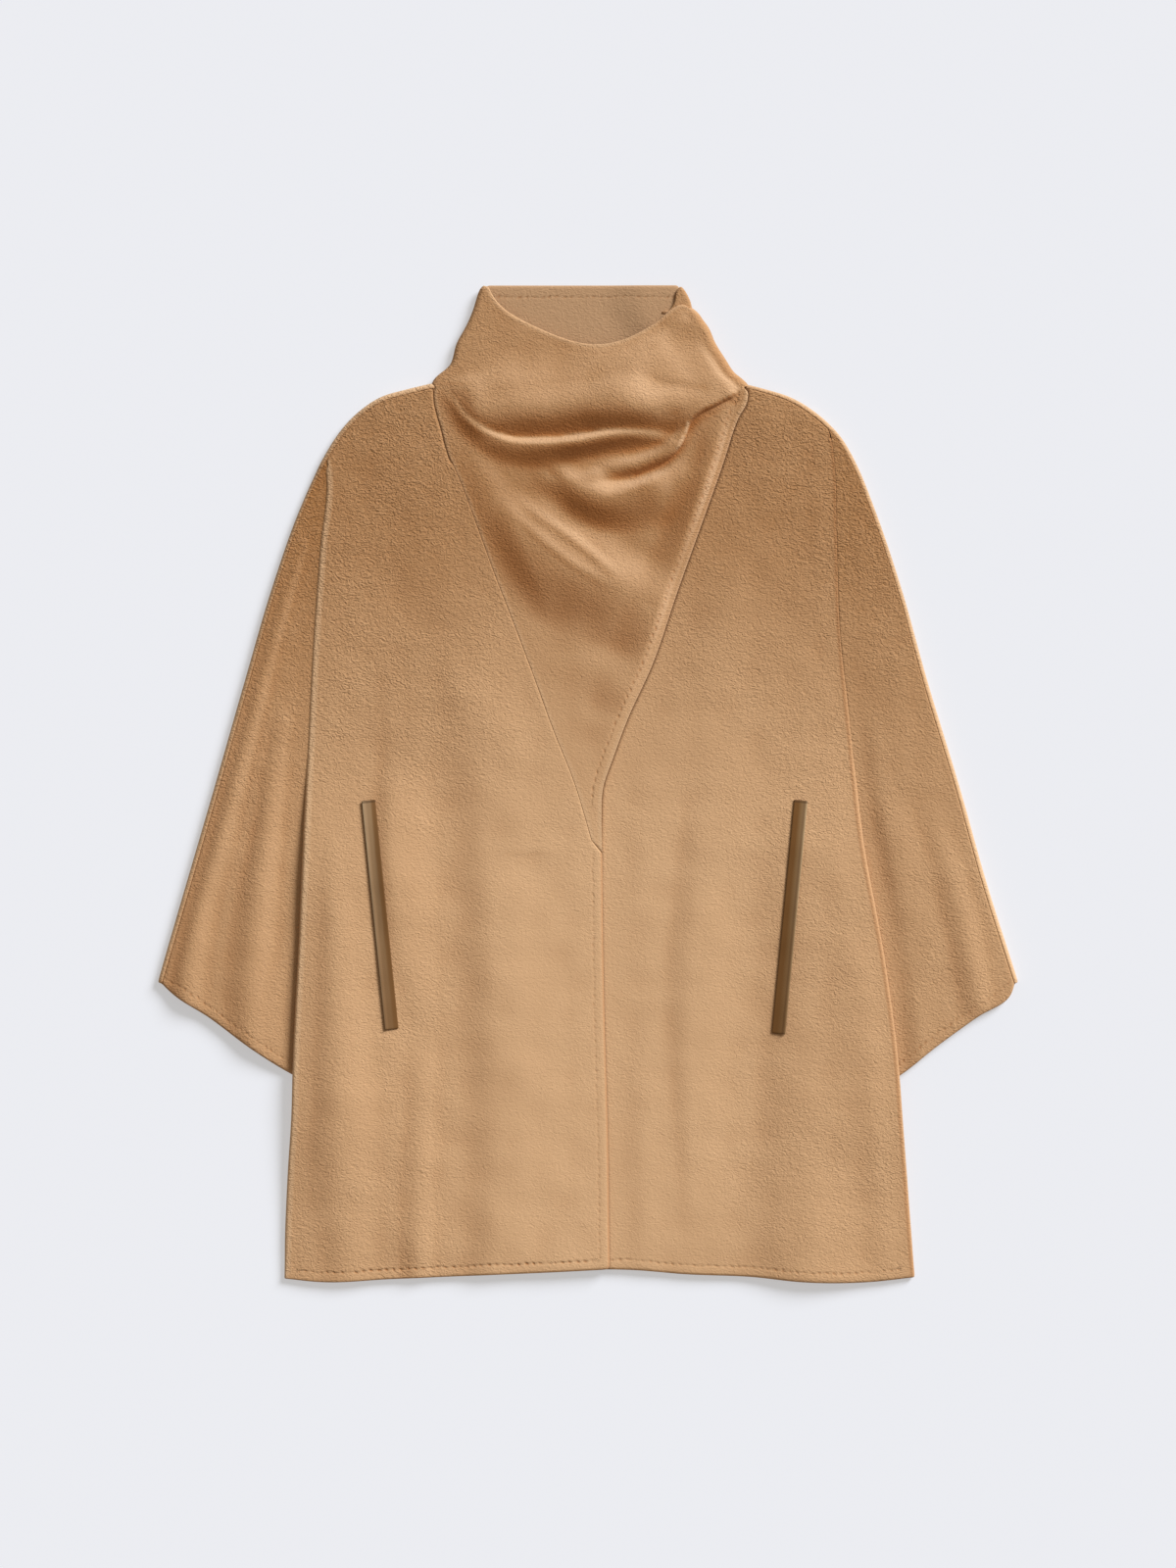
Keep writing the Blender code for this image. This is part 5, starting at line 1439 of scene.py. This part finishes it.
def wool(name, depth=1.0, ripples=230.0, shift=0.0, collar=0.0, deep=DEEP_CAMEL, light=LIGHT_CAMEL):
    """Brushed wool: depth and number of its ripples, its shift of tone, and its two colours."""
    material, tree, shader = new_material(name)
    place = add_node(tree, "TexCoord").outputs["Object"]
    brushed = add_node(
        tree,
        "Group",
        {"node_tree": nap},
        Place=place,
        Ripples_per_metre=ripples,
        Ripple_depth=depth,
        Tone_shift=shift,
        Collar_tone=collar,
        Deep_colour=deep,
        Light_colour=light,
    ).outputs
    sewn = add_node(
        tree,
        "Group",
        {"node_tree": sewn_edge},
        Edge_map=add_node(tree, "UVMap", {"uv_map": "edge_map"}).outputs[0],
        Place=place,
        Inset=PICK_INSET * MM,
        Pitch=PICK_PITCH * MM,
        Width=GROOVE_WIDTH * MM,
    ).outputs
    painted_light, past, clear, rim = (
        add_node(tree, "Attribute", {"attribute_name": label}).outputs["Fac"]
        for label in ("painted_light", "past_shadow_edge", "picks", "rim")
    )
    near = minus(1.0, divided(past, EDGE_SHADOW_WIDTH), clamp=True)
    # Painted light and shade: lighter where the cloth slopes towards the light, deeper where it slopes away
    # or lies in a hollow
    colour = mixed(times(painted_light, LIT_SHARE, clamp=True), brushed["Colour"], PAINTED_LIGHT_CAMEL)
    colour = mixed(times(painted_light, -SHADED_SHARE, clamp=True), colour, PAINTED_SHADE_CAMEL)
    # Painted shadow beside the edge that lies over the left front
    colour = mixed(times(maths("POWER", near, EDGE_SHADOW_FADE), EDGE_SHADOW_SHARE), colour, EDGE_SHADOW_CAMEL)
    # Painted shade in the stitch pits, which are also sunk by the bump
    colour = mixed(times(sewn["Pits"], times(clear, PIT_SHADE_SHARE)), colour, SEWN_SHADE_CAMEL)
    # Painted highlight on rims where rim is above nothing, painted shade on them where it is below nothing
    colour = mixed(times(sewn["Rim"], rim, clamp=True), colour, RIM_HIGHLIGHT_CAMEL)
    colour = mixed(times(sewn["Shaded rim"], times(rim, -1.0), clamp=True), colour, SEWN_SHADE_CAMEL)
    sunken = times(sewn["Height"], times(clear, PIT_DEPTH))
    finish(shader, colour, maths("ADD", sunken, brushed["Height"]), 1.0, NAP_HEIGHT)
    set_values(shader, WOOL_SURFACE)
    return material


def leather(name, bands):
    """Smooth welt leather in bands across, among them painted shadow, highlight and shade: each row is a
    depth from the outer edge and a colour.
    """
    material, tree, shader = new_material(name)
    place = add_node(tree, "TexCoord").outputs["Object"]
    way, inside, _ = axes(add_node(tree, "UVMap", {"uv_map": "edge_map"}).outputs[0])
    cloudy = noise(place, CLOUDS_PER_METRE, 3.0)[0]
    depth = minus(divided(inside, WELT_WIDTH * MM), BAND_DRIFT / 2)
    depth = times_plus(cloudy, BAND_DRIFT, depth, clamp=True)
    colour = colour_ramp(depth, [(band / WELT_WIDTH, tone) for band, tone in bands])
    colour = mixed(times(cloudy, SCUFF_SHARE), colour, SCUFF_BROWN)
    downwards = divided(way, WELT_DARKENS * MM, clamp=True)
    colour = mixed(times(downwards, DARK_SHARE), colour, WELT_BROWN)
    # Painted shadow across the welt's top
    in_top_shadow = maths("LESS_THAN", way, WELT_TOP_SHADOW * MM)
    colour = mixed(times(in_top_shadow, WELT_TOP_SHADOW_SHARE), colour, WELT_TOP_SHADOW_BROWN)
    grain = add_node(tree, "TexVoronoi", Vector=place, Scale=GRAINS_PER_METRE).outputs[0]
    finish(shader, colour, grain, 0.3, GRAIN_HEIGHT)
    set_values(shader, LEATHER_SURFACE)
    return material


# The cape: one piece for each node

body_wool = wool("camel_wool_body")
sleeve_wool = {
    "right": wool("camel_wool_sleeve_right", shift=-0.25),
    "left": wool("camel_wool_sleeve_left", shift=-0.12),
}
collar_wool = wool("camel_wool_collar", depth=0.75, ripples=260.0, shift=-0.10, collar=0.24)
inside_wool = wool("camel_wool_inside", depth=0.4, deep=DEEP_INSIDE, light=LIGHT_INSIDE)
welt_leather = {side: leather(f"welt_leather_{side}", WELT_BANDS[side]) for side in SIDES}

pieces = {"back": back(body_wool)}
pieces["front_right"], right_grid = front(
    "right", SEAM_LINE, CENTRE_EDGE, (SEWN / 2, SEWN / 2), [CENTRE_LINE], None, body_wool
)
pieces["front_left"], left_grid = front(
    "left", under_seam(), UNDER_EDGE, (SEAM / 2, -SEAM / 2), [], shadow_edge_distance, body_wool
)
pieces["collar_back"] = collar_back(inside_wool)
pieces["collar_wrap"] = collar_wrap(collar_wool)
pieces["collar_under"] = collar_under(collar_wool)
for side in SIDES:
    pieces[f"sleeve_{side}_back"] = sleeve_back(side, sleeve_wool[side])
    pieces[f"sleeve_{side}_front"] = sleeve_front(side, sleeve_wool[side])
pieces["welt_right"] = welt("right", right_grid, welt_leather["right"])
pieces["welt_left"] = welt("left", left_grid, welt_leather["left"])

# For each node its cut's width and length (metres), its area (square metres), and what it rests on
LAID = (
    ("back", (0.560, 0.785), 0.366, ()),
    ("front_right", (0.290, 0.780), 0.172, ("back", "sleeve_right_front")),
    ("front_left", (0.300, 0.780), 0.172, ("back", "sleeve_left_front")),
    ("collar_back", (0.260, 0.092), 0.018, ()),
    ("collar_wrap", (0.310, 0.500), 0.073, ("collar_under", "collar_back")),
    ("collar_under", (0.178, 0.485), 0.040, ("back",)),
    ("sleeve_right_back", (0.156, 0.550), 0.040, ()),
    ("sleeve_right_front", (0.150, 0.542), 0.037, ("sleeve_right_back",)),
    ("sleeve_left_back", (0.170, 0.580), 0.045, ()),
    ("sleeve_left_front", (0.160, 0.572), 0.040, ("sleeve_left_back",)),
    ("welt_right", (0.012, 0.200), 0.0024, ("front_right",)),
    ("welt_left", (0.012, 0.204), 0.00244, ("front_left",)),
)
for node, flat, area, under in LAID:
    piece = pieces[node]
    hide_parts(node)
    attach(piece, "root")

# Floor, light and camera, in metres

FLOOR_REACH = 4.0  # from the middle to each side
FLOOR_GAP = 0.0004  # from the floor up to the cape
FLOOR_SURFACE = {
    "Base Color": (0.416, 0.438, 0.493, 1.0),
    "Emission Color": (0.985, 0.988, 1.0, 1.0),
    "Emission Strength": 0.42,
    "Roughness": 0.95,
    "Specular IOR Level": 0.0,
}
floor_material, _, floor_shader = new_material("pale_floor")
set_values(floor_shader, FLOOR_SURFACE)
floor_plane = bmesh.new()
bmesh.ops.create_grid(floor_plane, x_segments=1, y_segments=1, size=FLOOR_REACH)
bmesh.ops.translate(floor_plane, vec=(0.0, 0.0, -FLOOR_GAP), verts=floor_plane.verts)
floor = put_in_scene("floor", mesh_from("floor", floor_plane, floor_material))

SUN_TURN = math.radians(45)  # from the wearer's left towards the collar
SUN_RISE = math.radians(27)
SUN_SPREAD = math.radians(26)
SUN_STRENGTH = 4.91
sun = bpy.data.lights.new("window light", "SUN")
sun.energy = SUN_STRENGTH
sun.angle = SUN_SPREAD
sun_lamp = put_in_scene("window light", sun)
level = math.cos(SUN_RISE)
towards = Vector((level * math.cos(SUN_TURN), level * math.sin(SUN_TURN), math.sin(SUN_RISE)))
sun_lamp.rotation_euler = towards.to_track_quat("Z", "Y").to_euler()

SKY_COLOUR = (1.10, 0.97, 0.82, 1.0)
SKY_STRENGTH = 0.28
world = bpy.data.worlds.new("studio")
world.use_nodes = True
sky = world.node_tree.nodes["Background"]
sky.inputs[0].default_value = SKY_COLOUR
sky.inputs[1].default_value = SKY_STRENGTH
bpy.context.scene.world = world

PICTURE_HEIGHT = 1.36  # floor from the picture's top to its bottom
CAMERA_HEIGHT = 6.0
camera = bpy.data.cameras.new("camera")
camera.sensor_fit = "VERTICAL"
camera.sensor_height = 36.0  # millimetres
camera.lens = camera.sensor_height * CAMERA_HEIGHT / PICTURE_HEIGHT
camera_eye = put_in_scene("camera", camera)
camera_eye.location = (0.0, 0.0, CAMERA_HEIGHT)
bpy.context.scene.camera = camera_eye
bpy.context.scene.view_settings.view_transform = "Standard"
